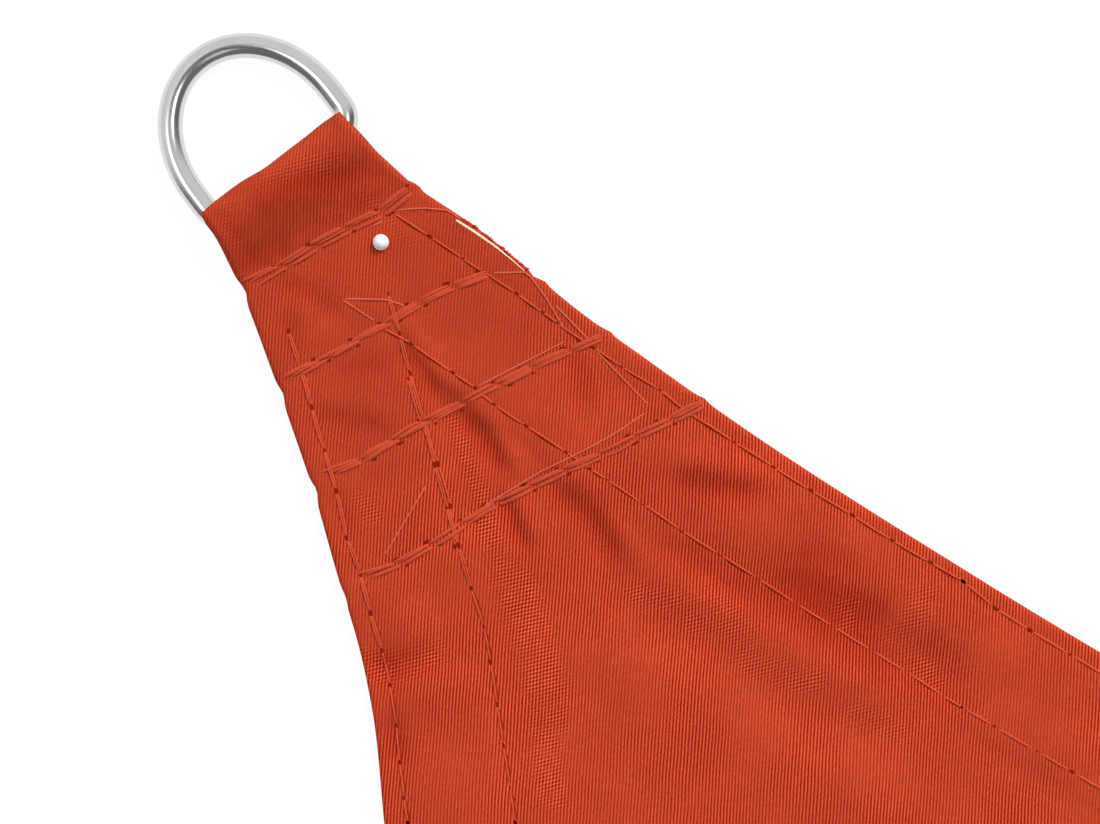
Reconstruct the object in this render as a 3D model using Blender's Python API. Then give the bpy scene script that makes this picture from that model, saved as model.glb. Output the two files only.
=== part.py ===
"""Triangular shade sail with a steel D-ring sewn into each corner, laid out on a flat surface.

The cloth is one sheet. Its edges are hemmed, and each corner is folded round the bar of its ring
and sewn down on the back. The front corner keeps its own uneven outline, folds and small stud;
the other two are made the same way with even edges.

Places in a corner are given along the corner's axis, from the middle of the ring's bar towards
the middle of the sail, and across it. The sail is modelled round its middle and then moved, so
that the origin is under the middle of its outline, on the surface that it lies on.
"""
import math
from collections import namedtuple

import bmesh
import bpy
from mathutils import Matrix, Vector

MM = 0.001

# Whole sail
SIDE = 2.0                          # from one ring's bar to the next
EDGE_SAG = 0.035 * SIDE             # how far the middle of an edge curves inwards
CIRCUMRADIUS = SIDE / math.sqrt(3)  # from the middle of the sail to each bar
TIP = 17.75 * MM                    # half width of the cloth at a bar
CORNER_HALF_ANGLE = math.radians(30)
EDGE_CHORD = SIDE - 2 * TIP * math.sin(CORNER_HALF_ANGLE)
EDGE_MIDDLE = EDGE_CHORD / 2 * math.cos(CORNER_HALF_ANGLE) + EDGE_SAG * math.sin(CORNER_HALF_ANGLE)
EDGE_LEAN = math.radians(24)        # angle of an edge to the axis near a corner
CORNERS = ("front", "right", "left")
CORNER_STEP = math.radians(120)

# Cloth
CLOTH = 1.0 * MM                    # single cloth
HEM_WIDTH = 24.0 * MM
HEM_LIFT = 0.6 * MM                 # what the folded hem adds
TAIL_END = 81.0 * MM                # where the folded-back corner ends
TAIL_LIFT = 0.8 * MM                # what it adds
TAIL_RUN = 5.0 * MM                 # length of the slope at its end
STEP_RUN = 2.5 * MM                 # length of the slope at the inside of a hem
SEAM_SLANT = {"front": -0.12, "right": 0.0, "left": 0.0}  # how far the cross seams lean, along by across
SLANT_REACH = 25.0 * MM             # how far across the loop's own seam leans
REST_RELIEF = 0.6 * MM              # unevenness that leaves the underside flat
FOLD_SOFTNESS = 0.4 * MM
EDGE_ROUNDING = 0.22                # share of the thickness taken off an edge, above and below

# D-ring
WIRE = 5.0 * MM
BAR_HALF = 12.0 * MM                # straight half of the bar
RING_CORNER = 5.0 * MM              # bend radius between bar and leg
RING_HALF_WIDTH = BAR_HALF + RING_CORNER
RING_LEG = 3.5 * MM                 # straight part of a leg
RING_BOW = 20.6 * MM                # height of the bow past the legs
RING_REACH = RING_CORNER + RING_LEG + RING_BOW
RING_TURN = {"front": 2.3, "right": -3.0, "left": 3.0}  # degrees, in the plane of the sail
BOW_POINTS = 26
BEND_POINTS = 5
WIRE_ROUNDNESS = 4                  # bevel resolution

# Loop round the bar
CLEARANCE = 0.32 * MM
LOOP_WALL = 1.18 * MM
LOOP_RADIUS = WIRE / 2 + CLEARANCE + LOOP_WALL
BAR_HEIGHT = LOOP_RADIUS
LOOP_SEAM = 15.0 * MM               # where the first row of sewing closes the loop
LOOP_END = 12.5 * MM                # across, where the cloth starts to lie over the bends of the ring
LOOP_SQUARENESS = 3.5               # how much squarer the front of the loop is there
LOOP_TOP = 1.0 * MM                 # where the top starts to fall towards the seam
CHANNEL_ROOM = 0.06 * MM            # how much wider the loop's hollow is than the bar's own room
CHANNEL_TIP = 11.0 * MM
CHANNEL_TIP_HEIGHT = 1.5 * MM
CHANNEL_HALF = 26.0 * MM
CHANNEL_SIDES = 24
LOOP_ANGLES = (78, 52, 26)          # rows round the front of the loop, degrees from upright

# Stud
STUD_ALONG = 21.5 * MM
STUD_ACROSS = -7.6 * MM
STUD_RADIUS = 1.6 * MM
STUD_FOOT = 0.35                    # share of the radius left under its widest line

# Rows and columns of the cloth
FIRST_STEP = 3.5 * MM
ROW_STEP = {"front": 5.0 * MM, "right": 8.0 * MM, "left": 8.0 * MM}
FINE_END = 20.0 * MM
CORNER_END = 150.0 * MM
STEP_GROWTH = 1.26
MIDDLE_CELLS = 4                    # between a hem and the corner's axis
HEM_SHARE = 0.62                    # most of a narrow row that a hem takes
STEP_SHARE = 0.1                    # and that the slope beside it takes
AXIS_LAG = 1.6                      # how late the rows start to bend towards the middle of the sail

Outline = namedtuple("Outline", "along left right")  # millimetres
FRONT_OUTLINE = (
    Outline(-5, 17.9, 15.6),
    Outline(-2, 18.7, 16.1),
    Outline(2, 18.7, 16.8),
    Outline(8, 19.8, 17.6),
    Outline(16, 21.4, 19.6),
    Outline(28, 24.5, 24.2),
    Outline(40, 27.8, 27.9),
    Outline(55, 32.2, 32.0),
    Outline(70, 37.4, 37.3),
    Outline(85, 42.4, 42.6),
    Outline(100, 49.0, 48.2),
    Outline(120, 60.2, 56.3),
    Outline(145, 72.5, 66.9),
)
OUTLINE_BLEND = 300 * MM            # over which a corner's outline joins the even edge

Front = namedtuple("Front", "across reach")  # millimetres, how far the loop reaches past the bar
LOOP_FRONT = (
    Front(-16, 4.4),
    Front(-12, 4.6),
    Front(-7, 4.3),
    Front(-2, 4.1),
    Front(3, 3.9),
    Front(8, 4.3),
    Front(13, 4.2),
    Front(18, 3.6),
)

Fold = namedtuple("Fold", "route width height")  # route: (along, across) points; millimetres
FRONT_FOLDS = (
    Fold(((1, 6), (13, -16)), 4, 0.7),
    Fold(((8, 16), (15, -15)), 3, -0.7),
    Fold(((40, 23), (54, 11)), 4, -0.6),
    Fold(((40, 1), (48, 1), (65, -2), (75, -1)), 4, -0.9),
    Fold(((56, -4), (65, -6), (76, -3), (89, 1)), 4, 0.9),
    Fold(((79, -7), (88, -10), (102, -10)), 4, -0.9),
    Fold(((78, -11), (87, -14), (103, -14)), 4, 1.0),
    Fold(((92, -7), (101, -5), (114, -8), (130, -15), (156, -28), (168, -35)), 6, -1.1),
    Fold(((94, -16), (100, -14), (126, -23), (151, -36), (164, -43)), 5, 0.9),
    Fold(((99, -17), (117, -26), (143, -39), (168, -51)), 4, -0.8),
    Fold(((98, -28), (126, -43), (149, -53), (163, -61)), 5, 0.9),
    Fold(((88, -28), (102, -38), (119, -46), (141, -56), (156, -63)), 10, 1.5),
    Fold(((91, -29), (98, -35), (106, -43)), 4, -0.6),
    Fold(((98, 39), (104, 28)), 5, 0.6),
    Fold(((100, 0), (150, -14), (230, -40)), 16, 1.4),
    Fold(((140, 25), (230, 30), (360, 38)), 24, 4.5),
    Fold(((180, -52), (300, -88), (420, -122)), 28, 5.0),
)
PLAIN_FOLDS = (
    Fold(((44, 4), (90, 9)), 6, -1.2),
    Fold(((90, -14), (170, -38)), 9, -1.8),
    Fold(((80, 12), (180, 33), (330, 62)), 16, 3.6),
    Fold(((150, -30), (270, -62), (400, -98)), 24, 4.6),
)
FOLD_LIFT = 1.0 * MM                # slack that lets the corner's hollows show
FOLD_LIFT_START = 120 * MM
FOLD_LIFT_END = 260 * MM
FOLD_TAPER = 0.22                   # share of a fold's length over which each end dies away
FOLD_END_HEIGHT = 0.25              # share of its height left at the very end

Finish = namedtuple("Finish", "colour roughness metallic")
CLOTH_FINISH = Finish((0.48, 0.05, 0.02), 0.75, 0.0)
STEEL_FINISH = Finish((0.78, 0.78, 0.79), 0.18, 1.0)
STUD_FINISH = Finish((0.86, 0.87, 0.89), 0.35, 0.0)


# ---- curves

def smooth(start, end, value):
    """A step from 0 to 1 with soft ends, between start and end."""
    share = min(1.0, max(0.0, (value - start) / (end - start)))
    return share * share * (3 - 2 * share)


def curve_through(points, place):
    """The height at place of a smooth curve through (place, height) points."""
    if place <= points[0][0]:
        return points[0][1]
    if place >= points[-1][0]:
        return points[-1][1]
    left = max(i for i, point in enumerate(points[:-1]) if point[0] <= place)

    def slope(i):
        low, high = max(i - 1, 0), min(i + 1, len(points) - 1)
        return (points[high][1] - points[low][1]) / (points[high][0] - points[low][0])

    (x0, y0), (x1, y1) = points[left], points[left + 1]
    run = x1 - x0
    t = (place - x0) / run
    bend = (t ** 3 - 2 * t ** 2 + t) * slope(left) + (t ** 3 - t ** 2) * slope(left + 1)
    return y0 + (y1 - y0) * (3 * t ** 2 - 2 * t ** 3) + run * bend


# ---- outline of the sail

def even_edge(along):
    """Half width of a corner with an even edge: a parabola between two corners."""
    fall = 2 * EDGE_SAG / EDGE_CHORD
    reach = math.cos(CORNER_HALF_ANGLE) + fall
    travel = (reach - math.sqrt(reach ** 2 - 4 * fall * along / EDGE_CHORD)) * EDGE_CHORD / (2 * fall)
    sag = 4 * EDGE_SAG * travel * (EDGE_CHORD - travel) / EDGE_CHORD ** 2
    return TIP + travel * math.sin(CORNER_HALF_ANGLE) - sag * math.cos(CORNER_HALF_ANGLE)


def outline_points(corner, side):
    """The corner's own outline on one side, in metres; the plain corners are even."""
    if corner == "front":
        return [(row.along * MM, getattr(row, side) * MM) for row in FRONT_OUTLINE]
    return [(row.along * MM, (row.left + row.right) / 2 * MM) for row in FRONT_OUTLINE]


def half_width(corner, side, along):
    """Half width of the sail at a place along a corner's axis."""
    points = outline_points(corner, side)
    last, width = points[-1]
    if along <= last:
        return curve_through(points, along)
    missing = even_edge(last) - width
    return even_edge(min(along, EDGE_MIDDLE)) - missing * (1 - smooth(last, last + OUTLINE_BLEND, along))


# ---- surface of the sail

def fold_height(fold, along, across):
    """How much one fold lifts the cloth at a place in its corner."""
    place = Vector((along, across))
    route = [Vector(point) * MM for point in fold.route]
    lengths = [(b - a).length for a, b in zip(route, route[1:])]
    whole = sum(lengths)
    best, best_share, walked = math.inf, 0.0, 0.0
    for start, end, length in zip(route, route[1:], lengths):
        share = min(1.0, max(0.0, (place - start).dot(end - start) / length ** 2))
        distance = (place - start.lerp(end, share)).length
        if distance < best:
            best, best_share = distance, (walked + share * length) / whole
        walked += length
    ends = smooth(0, FOLD_TAPER, best_share) * smooth(0, FOLD_TAPER, 1 - best_share)
    strength = FOLD_END_HEIGHT + (1 - FOLD_END_HEIGHT) * ends
    return fold.height * MM * strength * math.exp(-(best / (fold.width * MM)) ** 2)


def relief(corner, along, across):
    """Height of the underside's natural lie over the surface, from the corner's folds."""
    folds = FRONT_FOLDS if corner == "front" else PLAIN_FOLDS
    lift = FOLD_LIFT * (1 - smooth(FOLD_LIFT_START, FOLD_LIFT_END, along)) * smooth(0, LOOP_SEAM, along)
    height = lift + sum(fold_height(fold, along, across) for fold in folds)
    return (height + math.sqrt(height ** 2 + FOLD_SOFTNESS ** 2)) / 2


def layers(corner, along, across):
    """Thickness of the cloth with its hem and its folded-back corner."""
    side = "left" if across >= 0 else "right"
    inset = (half_width(corner, side, along) - abs(across)) * math.cos(EDGE_LEAN)
    hem = 1 - smooth(HEM_WIDTH, HEM_WIDTH + STEP_RUN, inset)
    tail = 1 - smooth(TAIL_END, TAIL_END + TAIL_RUN, along - SEAM_SLANT[corner] * across)
    return CLOTH + HEM_LIFT * hem + TAIL_LIFT * tail


def heights(corner, along, across):
    """Underside and top of the cloth at a place in a corner."""
    if along < 0:
        power = 2 + LOOP_SQUARENESS * smooth(LOOP_END, RING_HALF_WIDTH, abs(across))
        rise = LOOP_RADIUS * (1 - min(1.0, -along / loop_front(across)) ** power) ** (1 / power)
        return BAR_HEIGHT - rise, BAR_HEIGHT + rise
    thickness = layers(corner, along, across)
    lie = relief(corner, along, across)
    seam = LOOP_SEAM + SEAM_SLANT[corner] * max(-SLANT_REACH, min(SLANT_REACH, across))
    loop = (2 * LOOP_RADIUS - thickness - lie) * (1 - smooth(LOOP_TOP, seam, along))
    return max(0.0, lie - REST_RELIEF) * smooth(0, LOOP_SEAM, along), thickness + lie + loop


def loop_front(across):
    """How far the loop reaches past the bar's middle line."""
    return curve_through(LOOP_FRONT, across / MM) * MM


# ---- rows and columns

def row_places(corner):
    """Where the rows of a corner cross its edges: close in the sewn corner, then wider."""
    places, step = [0.0], ROW_STEP[corner]
    while places[-1] < CORNER_END:
        places.append(places[-1] + (FIRST_STEP if places[-1] < FINE_END else step))
    while places[-1] < EDGE_MIDDLE:
        step *= STEP_GROWTH
        places.append(places[-1] + step)
    stretch = (EDGE_MIDDLE - CORNER_END) / (places[-1] - CORNER_END)
    return [p if p <= CORNER_END else CORNER_END + (p - CORNER_END) * stretch for p in places]


def column_insets(length):
    """Distances from the edge to the axis of one half of a row, for the columns of the grid."""
    hem = min(HEM_WIDTH / math.cos(EDGE_LEAN), HEM_SHARE * length)
    step = min(STEP_RUN / math.cos(EDGE_LEAN), STEP_SHARE * length)
    edge = min(STEP_RUN, STEP_SHARE * length)
    inner = hem + step
    middle = [inner + (length - inner) * i / MIDDLE_CELLS for i in range(1, MIDDLE_CELLS + 1)]
    return [0.0, edge, hem / 2, hem, inner] + middle


def row_points(corner, place):
    """Points of one row from the left edge to the right edge, as (along, across)."""
    lag = max(0.0, (place - CORNER_END) / (EDGE_MIDDLE - CORNER_END))
    axis = Vector((place + (CIRCUMRADIUS - EDGE_MIDDLE) * lag ** AXIS_LAG, 0.0))
    halves = []
    for side, sign in (("left", 1), ("right", -1)):
        edge = Vector((place, sign * half_width(corner, side, place)))
        length = (axis - edge).length
        halves.append([edge.lerp(axis, inset / length) for inset in column_insets(length)])
    return halves[0] + halves[1][-2::-1]


def loop_row(corner, angle):
    """Points of a row on the front of the loop, at an angle from upright."""
    turn = math.sin(math.radians(angle))
    return [Vector((-loop_front(point.y) * turn, point.y)) for point in row_points(corner, -WIRE / 2 * turn)]


def corner_matrix(corner):
    """From a corner's (across, along) place to the sail's, about its middle."""
    turn = Matrix.Rotation(CORNER_STEP * CORNERS.index(corner), 4, "Z")
    return turn @ Matrix.Translation((0, -CIRCUMRADIUS, 0))


# ---- objects

def material(name, finish):
    """A plain material for one sub-part."""
    made = bpy.data.materials.new(name)
    made.use_nodes = True
    shader = made.node_tree.nodes["Principled BSDF"]
    shader.inputs["Base Color"].default_value = (*finish.colour, 1)
    shader.inputs["Roughness"].default_value = finish.roughness
    shader.inputs["Metallic"].default_value = finish.metallic
    made.diffuse_color = (*finish.colour, 1)
    return made


def add_object(name, mesh, parent, finish=None):
    """Put a mesh in the scene under the sail's empty."""
    made = bpy.data.objects.new(name, mesh)
    made.parent = parent
    if finish:
        mesh.materials.append(material(name, finish))
    bpy.context.collection.objects.link(made)
    return made


def mesh_from(bm, name):
    """Turn a bmesh into a mesh of flat faces that point out."""
    bmesh.ops.triangulate(bm, faces=bm.faces)
    bmesh.ops.recalc_face_normals(bm, faces=bm.faces)
    mesh = bpy.data.meshes.new(name)
    bm.to_mesh(mesh)
    bm.free()
    return mesh


def hide_cutter(cutter):
    """Keep a cutting shape out of the model."""
    cutter.hide_render = True
    cutter.display_type = "WIRE"


def cut(target, cutter):
    """Take a cutting shape out of an object."""
    hide_cutter(cutter)
    step = target.modifiers.new(cutter.name, "BOOLEAN")
    step.operation = "DIFFERENCE"
    step.solver = "EXACT"
    step.object = cutter


def ring_route():
    """Middle line of a D-ring's wire, as (along, across), with the bow towards negative along."""
    bend = [math.radians(90 * i / BEND_POINTS) for i in range(BEND_POINTS + 1)]
    half = [Vector((RING_CORNER * (math.cos(t) - 1), BAR_HALF + RING_CORNER * math.sin(t))) for t in bend]
    other_half = [Vector((point.x, -point.y)) for point in reversed(half)]
    turns = [math.radians(180 * i / BOW_POINTS) for i in range(BOW_POINTS + 1)]
    legs_end = -RING_CORNER - RING_LEG
    bow = [Vector((legs_end - RING_BOW * math.sin(t), RING_HALF_WIDTH * math.cos(t))) for t in turns]
    return half + bow + other_half + [Vector((0.0, 0.0))]


def ring_mesh(name, radius):
    """A D-ring's wire of the given radius, lying level with its bar through the origin."""
    route = ring_route()
    curve = bpy.data.curves.new(name, "CURVE")
    curve.dimensions = "3D"
    curve.bevel_depth = radius
    curve.bevel_resolution = WIRE_ROUNDNESS
    spline = curve.splines.new("POLY")
    spline.points.add(len(route) - 1)
    for point, place in zip(spline.points, route):
        point.co = (place.y, place.x, 0, 1)
    spline.use_cyclic_u = True
    guide = bpy.data.objects.new(name, curve)
    bpy.context.collection.objects.link(guide)
    mesh = bpy.data.meshes.new_from_object(guide.evaluated_get(bpy.context.evaluated_depsgraph_get()))
    bpy.data.objects.remove(guide)
    bm = bmesh.new()
    bm.from_mesh(mesh)
    bpy.data.meshes.remove(mesh)
    for face in bm.faces:
        face.smooth = True
    return mesh_from(bm, name)


def ring_turn(corner):
    """How a ring and its loop are turned in the plane of the sail."""
    return Matrix.Rotation(math.radians(RING_TURN[corner]), 4, "Z")


def ring_matrix(corner):
    """Place of a ring: its bar in the loop, its bow resting on the surface."""
    tilt = math.asin((BAR_HEIGHT - WIRE / 2) / RING_REACH)
    lift = Matrix.Translation((0, 0, BAR_HEIGHT))
    return corner_matrix(corner) @ lift @ ring_turn(corner) @ Matrix.Rotation(tilt, 4, "X")


def add_ring(corner, parent):
    """One steel D-ring."""
    ring = add_object(f"ring_{corner}", ring_mesh(f"ring_{corner}", WIRE / 2), parent, STEEL_FINISH)
    ring.matrix_basis = ring_matrix(corner)
    return ring


def channel_mesh(name):
    """The loop's hollow: round at the bar, drawn to a narrow end at the seam."""
    radius = WIRE / 2 + CLEARANCE + CHANNEL_ROOM
    bm = bmesh.new()
    for across in (-CHANNEL_HALF, CHANNEL_HALF):
        for i in range(CHANNEL_SIDES):
            turn = 2 * math.pi * i / CHANNEL_SIDES
            bm.verts.new((across, radius * math.cos(turn), BAR_HEIGHT + radius * math.sin(turn)))
        bm.verts.new((across, CHANNEL_TIP, CHANNEL_TIP_HEIGHT))
    hull = bmesh.ops.convex_hull(bm, input=bm.verts)
    bmesh.ops.delete(bm, geom=hull["geom_interior"], context="VERTS")
    return mesh_from(bm, name)


def cloth_sheet(bm, corner, underside, topside):
    """One corner's third of the sail as a flat grid of faces, with its heights kept on its points."""
    rows = [loop_row(corner, angle) for angle in LOOP_ANGLES]
    rows += [row_points(corner, place) for place in row_places(corner)]
    columns = len(rows[0])
    grid = bmesh.ops.create_grid(bm, x_segments=columns - 1, y_segments=len(rows) - 1, size=0.5)
    place_in_sail = corner_matrix(corner)
    for vert in grid["verts"]:
        column = round((vert.co.x + 0.5) * (columns - 1))
        row = round((vert.co.y + 0.5) * (len(rows) - 1))
        along, across = rows[row][column]
        low, high = heights(corner, along, across)
        rounding = EDGE_ROUNDING * (high - low) if column in (0, columns - 1) else 0.0
        vert[underside], vert[topside] = low + rounding, high - rounding
        vert.co = place_in_sail @ Vector((across, along, 0))


def cloth_mesh(name):
    """The whole cloth as one closed sheet, with its hems, folded corners and folds."""
    bm = bmesh.new()
    underside = bm.verts.layers.float.new("underside")
    topside = bm.verts.layers.float.new("topside")
    for corner in CORNERS:
        cloth_sheet(bm, corner, underside, topside)
    bmesh.ops.remove_doubles(bm, verts=bm.verts, dist=0.01 * MM)
    for vert in bm.verts:
        vert.co.z = vert[underside]
    extruded = bmesh.ops.extrude_face_region(bm, geom=bm.faces[:], use_keep_orig=True)
    for item in extruded["geom"]:
        if isinstance(item, bmesh.types.BMVert):
            item.co.z = item[topside]
    for face in bm.faces:
        face.smooth = True
    return mesh_from(bm, name)


def add_cloth(parent):
    """The sail's cloth, with a loop cut open for each ring."""
    cloth = add_object("sail_cloth", cloth_mesh("sail_cloth"), parent, CLOTH_FINISH)
    for corner in CORNERS:
        channel = add_object(f"channel_{corner}", channel_mesh(f"channel_{corner}"), parent)
        channel.matrix_basis = corner_matrix(corner) @ ring_turn(corner)
        cut(cloth, channel)
        room_name = f"ring_room_{corner}"
        room = add_object(room_name, ring_mesh(room_name, WIRE / 2 + CLEARANCE), parent)
        room.matrix_basis = ring_matrix(corner)
        cut(cloth, room)
    return cloth


def add_stud(parent):
    """The small domed stud on the front corner."""
    bm = bmesh.new()
    bmesh.ops.create_uvsphere(bm, u_segments=16, v_segments=10, radius=STUD_RADIUS)
    foot = Vector((0, 0, -STUD_FOOT * STUD_RADIUS))
    sliced = bmesh.ops.bisect_plane(bm, geom=bm.verts[:] + bm.edges[:] + bm.faces[:], plane_co=foot,
                                    plane_no=(0, 0, -1), clear_outer=True)
    rim = [item for item in sliced["geom_cut"] if isinstance(item, bmesh.types.BMEdge)]
    bmesh.ops.contextual_create(bm, geom=rim)
    for face in bm.faces:
        face.smooth = True
    stud = add_object("corner_stud", mesh_from(bm, "corner_stud"), parent, STUD_FINISH)
    seat = heights("front", STUD_ALONG, STUD_ACROSS)[1] + CLEARANCE + STUD_FOOT * STUD_RADIUS
    stud.matrix_basis = corner_matrix("front") @ Matrix.Translation((STUD_ACROSS, STUD_ALONG, seat))
    return stud


def settle(frame, rings):
    """Move the sail so that the origin is under the middle of the rings' outer reach."""
    places = [ring.matrix_basis @ vert.co for ring in rings for vert in ring.data.vertices]
    middle = [(min(p[axis] for p in places) + max(p[axis] for p in places)) / 2 for axis in (0, 1)]
    frame.location = (-middle[0], -middle[1], 0)


def main():
    """Clear the scene and build the sail."""
    for old in list(bpy.data.objects):
        bpy.data.objects.remove(old)
    frame = bpy.data.objects.new("sail_frame", None)
    bpy.context.collection.objects.link(frame)
    add_cloth(frame)
    rings = [add_ring(corner, frame) for corner in CORNERS]
    add_stud(frame)
    settle(frame, rings)


main()
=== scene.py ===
"""Look of a triangular shade sail with a steel D-ring in each corner, laid out flat on a pale floor.

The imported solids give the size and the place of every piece. This script dresses them: finer cloth
with creases and weave, hem and corner sewing, polished rings and a small white stud.

Places in a corner are given along the corner's axis, from the middle of the ring's bar towards the
middle of the sail, and across it. Side LEFT is at positive across: seen from above, it is the side
towards positive X on the front corner. Tables are in millimetres, or in pixels of the photograph
where a place was read off it; functions turn both to metres, in which all other sizes are given.
"""

import itertools
import logging
import math
from collections.abc import Iterable, Sequence
from dataclasses import dataclass, field
from enum import Enum

import bmesh
import bpy
import numpy as np
from mathutils import Matrix, Vector

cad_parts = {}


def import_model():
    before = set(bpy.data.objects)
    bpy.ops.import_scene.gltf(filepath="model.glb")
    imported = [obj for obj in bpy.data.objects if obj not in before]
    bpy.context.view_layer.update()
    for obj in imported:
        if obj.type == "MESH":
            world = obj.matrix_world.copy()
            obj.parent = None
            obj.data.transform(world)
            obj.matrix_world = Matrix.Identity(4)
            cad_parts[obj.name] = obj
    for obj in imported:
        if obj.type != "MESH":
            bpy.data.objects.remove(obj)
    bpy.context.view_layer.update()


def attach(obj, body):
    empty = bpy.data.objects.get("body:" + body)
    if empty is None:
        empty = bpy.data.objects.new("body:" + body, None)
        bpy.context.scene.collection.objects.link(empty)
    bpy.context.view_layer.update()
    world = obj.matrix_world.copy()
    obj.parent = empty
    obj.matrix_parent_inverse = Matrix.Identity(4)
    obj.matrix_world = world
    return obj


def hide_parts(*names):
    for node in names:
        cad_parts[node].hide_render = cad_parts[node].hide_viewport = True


Values = np.ndarray
log = logging.getLogger("shade_sail")

MM = 0.001
BODY = "root"
SAIL_MIDDLE = Vector((0.0, 0.292381, 0.0))  # where the middle of the sail lies in the frame
CORNER_STEP = math.radians(120)
SEED = 7


class Corner(Enum):
    """The three corners, in turning order."""

    FRONT = 0
    RIGHT = 1
    LEFT = 2


class Side(Enum):
    """The two edges that meet in a corner, with the sign of their across places."""

    LEFT = 1
    RIGHT = -1


# ---- places read off the photograph

PIXELS_PER_MM = 5.0
BAR_PIXEL = (288.8, 176.6)  # where the middle of the front ring's bar lies in the photograph
PHOTO_TURN = math.radians(55)  # from the picture's right round to the corner's axis
SPOT_STEPS = 10  # steps per millimetre: spots are kept to a tenth of a millimetre
FOLD_STEPS = 2  # and folds, which are soft, to half a millimetre


def corner_place(x: float, y: float) -> tuple[float, float]:
    """Where a pixel of the photograph lies in the front corner.

    Args:
        x: pixels from the picture's left.
        y: pixels from its top.

    Returns:
        The place as (along, across) in millimetres.
    """
    right, down = (x - BAR_PIXEL[0]) / PIXELS_PER_MM, (y - BAR_PIXEL[1]) / PIXELS_PER_MM
    cosine, sine = math.cos(PHOTO_TURN), math.sin(PHOTO_TURN)
    return cosine * right + sine * down, -sine * right + cosine * down


def read_to(steps: int, places: Iterable[tuple[float, float]]) -> tuple[tuple[float, float], ...]:
    """Places kept to some steps per millimetre."""
    return tuple((round(along * steps) / steps, round(across * steps) / steps)
                 for along, across in places)


def read_spots(*pixels: tuple[float, float]) -> tuple[tuple[float, float], ...]:
    """Spots of the sewing, from their pixels in the photograph."""
    return read_to(SPOT_STEPS, (corner_place(*pixel) for pixel in pixels))


def fold_beside(offset: float, *pixels: tuple[float, float]) -> tuple[tuple[float, float], ...]:
    """Route of a fold that runs beside a line in the photograph.

    Args:
        offset: how far beside it, in millimetres. For a line that runs along the corner's axis,
            above 0 is towards rising across.
        pixels: the line's pixels.

    Returns:
        The route's (along, across) places in millimetres.
    """
    line = [corner_place(*pixel) for pixel in pixels]
    route = []
    for i, (along, across) in enumerate(line):
        before, after = line[max(0, i - 1)], line[min(len(line) - 1, i + 1)]
        run = (after[0] - before[0], after[1] - before[1])
        length = math.hypot(*run)
        route.append((along - run[1] / length * offset, across + run[0] / length * offset))
    return read_to(FOLD_STEPS, route)


def fold_along(*pixels: tuple[float, float]) -> tuple[tuple[float, float], ...]:
    """Route of a soft form that runs along a line in the photograph."""
    return fold_beside(0.0, *pixels)


# ---- tables

# Half widths of the front corner, chosen from smoothed readings of the photograph's edges:
# (along, left, right)
FRONT_OUTLINE = (
    (-5, 17.9, 15.6),
    (-2, 18.7, 16.1),
    (2, 18.7, 16.8),
    (8, 19.8, 17.6),
    (16, 21.4, 19.6),
    (28, 24.5, 24.2),
    (40, 27.8, 27.9),
    (55, 32.2, 32.0),
    (70, 37.4, 37.3),
    (85, 42.4, 42.6),
    (100, 49.0, 48.2),
    (120, 60.2, 56.3),
    (145, 72.5, 66.9),
)
# Where sewing pulls an edge in or pushes it out: (along, move, half length)
FRONT_NUBS = {
    Side.LEFT: ((13.6, -0.8, 1.9), (35.0, -0.6, 1.8), (54.6, -0.7, 1.9), (75.5, -0.3, 1.6)),
    Side.RIGHT: ((16.2, 0.6, 1.0), (29.5, 0.25, 0.9), (32.6, 0.2, 0.8), (36.0, 0.2, 0.9),
                 (44.4, -0.5, 1.2), (46.6, 0.3, 1.0), (62.2, 0.4, 1.1), (84.0, 0.4, 1.2)),
}
# How far the front of a loop reaches past its bar, from readings of the photograph's edge:
# (across, reach)
LOOP_FRONT = ((-16, 4.4), (-12, 4.6), (-7, 4.3), (-2, 4.1), (3, 3.9), (8, 4.3), (13, 4.2), (18, 3.6))
# Lines in the photograph beside which folds run, in pixels
CELL_FOLD = ((309, 405), (400, 430))
SEAM_FOLD = ((402, 338), (428, 375), (450, 400))
SPUR_FOLD = ((505, 490), (530, 548))
BAND_FOLD = ((548, 474), (584, 501), (605, 526), (628, 566))
LONG_FOLD = ((605, 526), (618, 559), (668, 601), (734, 643), (785, 676), (860, 710), (927, 743))
HEM_FOLD = ((735, 568), (810, 605), (868, 640), (918, 668), (990, 705))
HEM_CREASE = ((668, 468), (710, 480), (768, 488))
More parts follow.
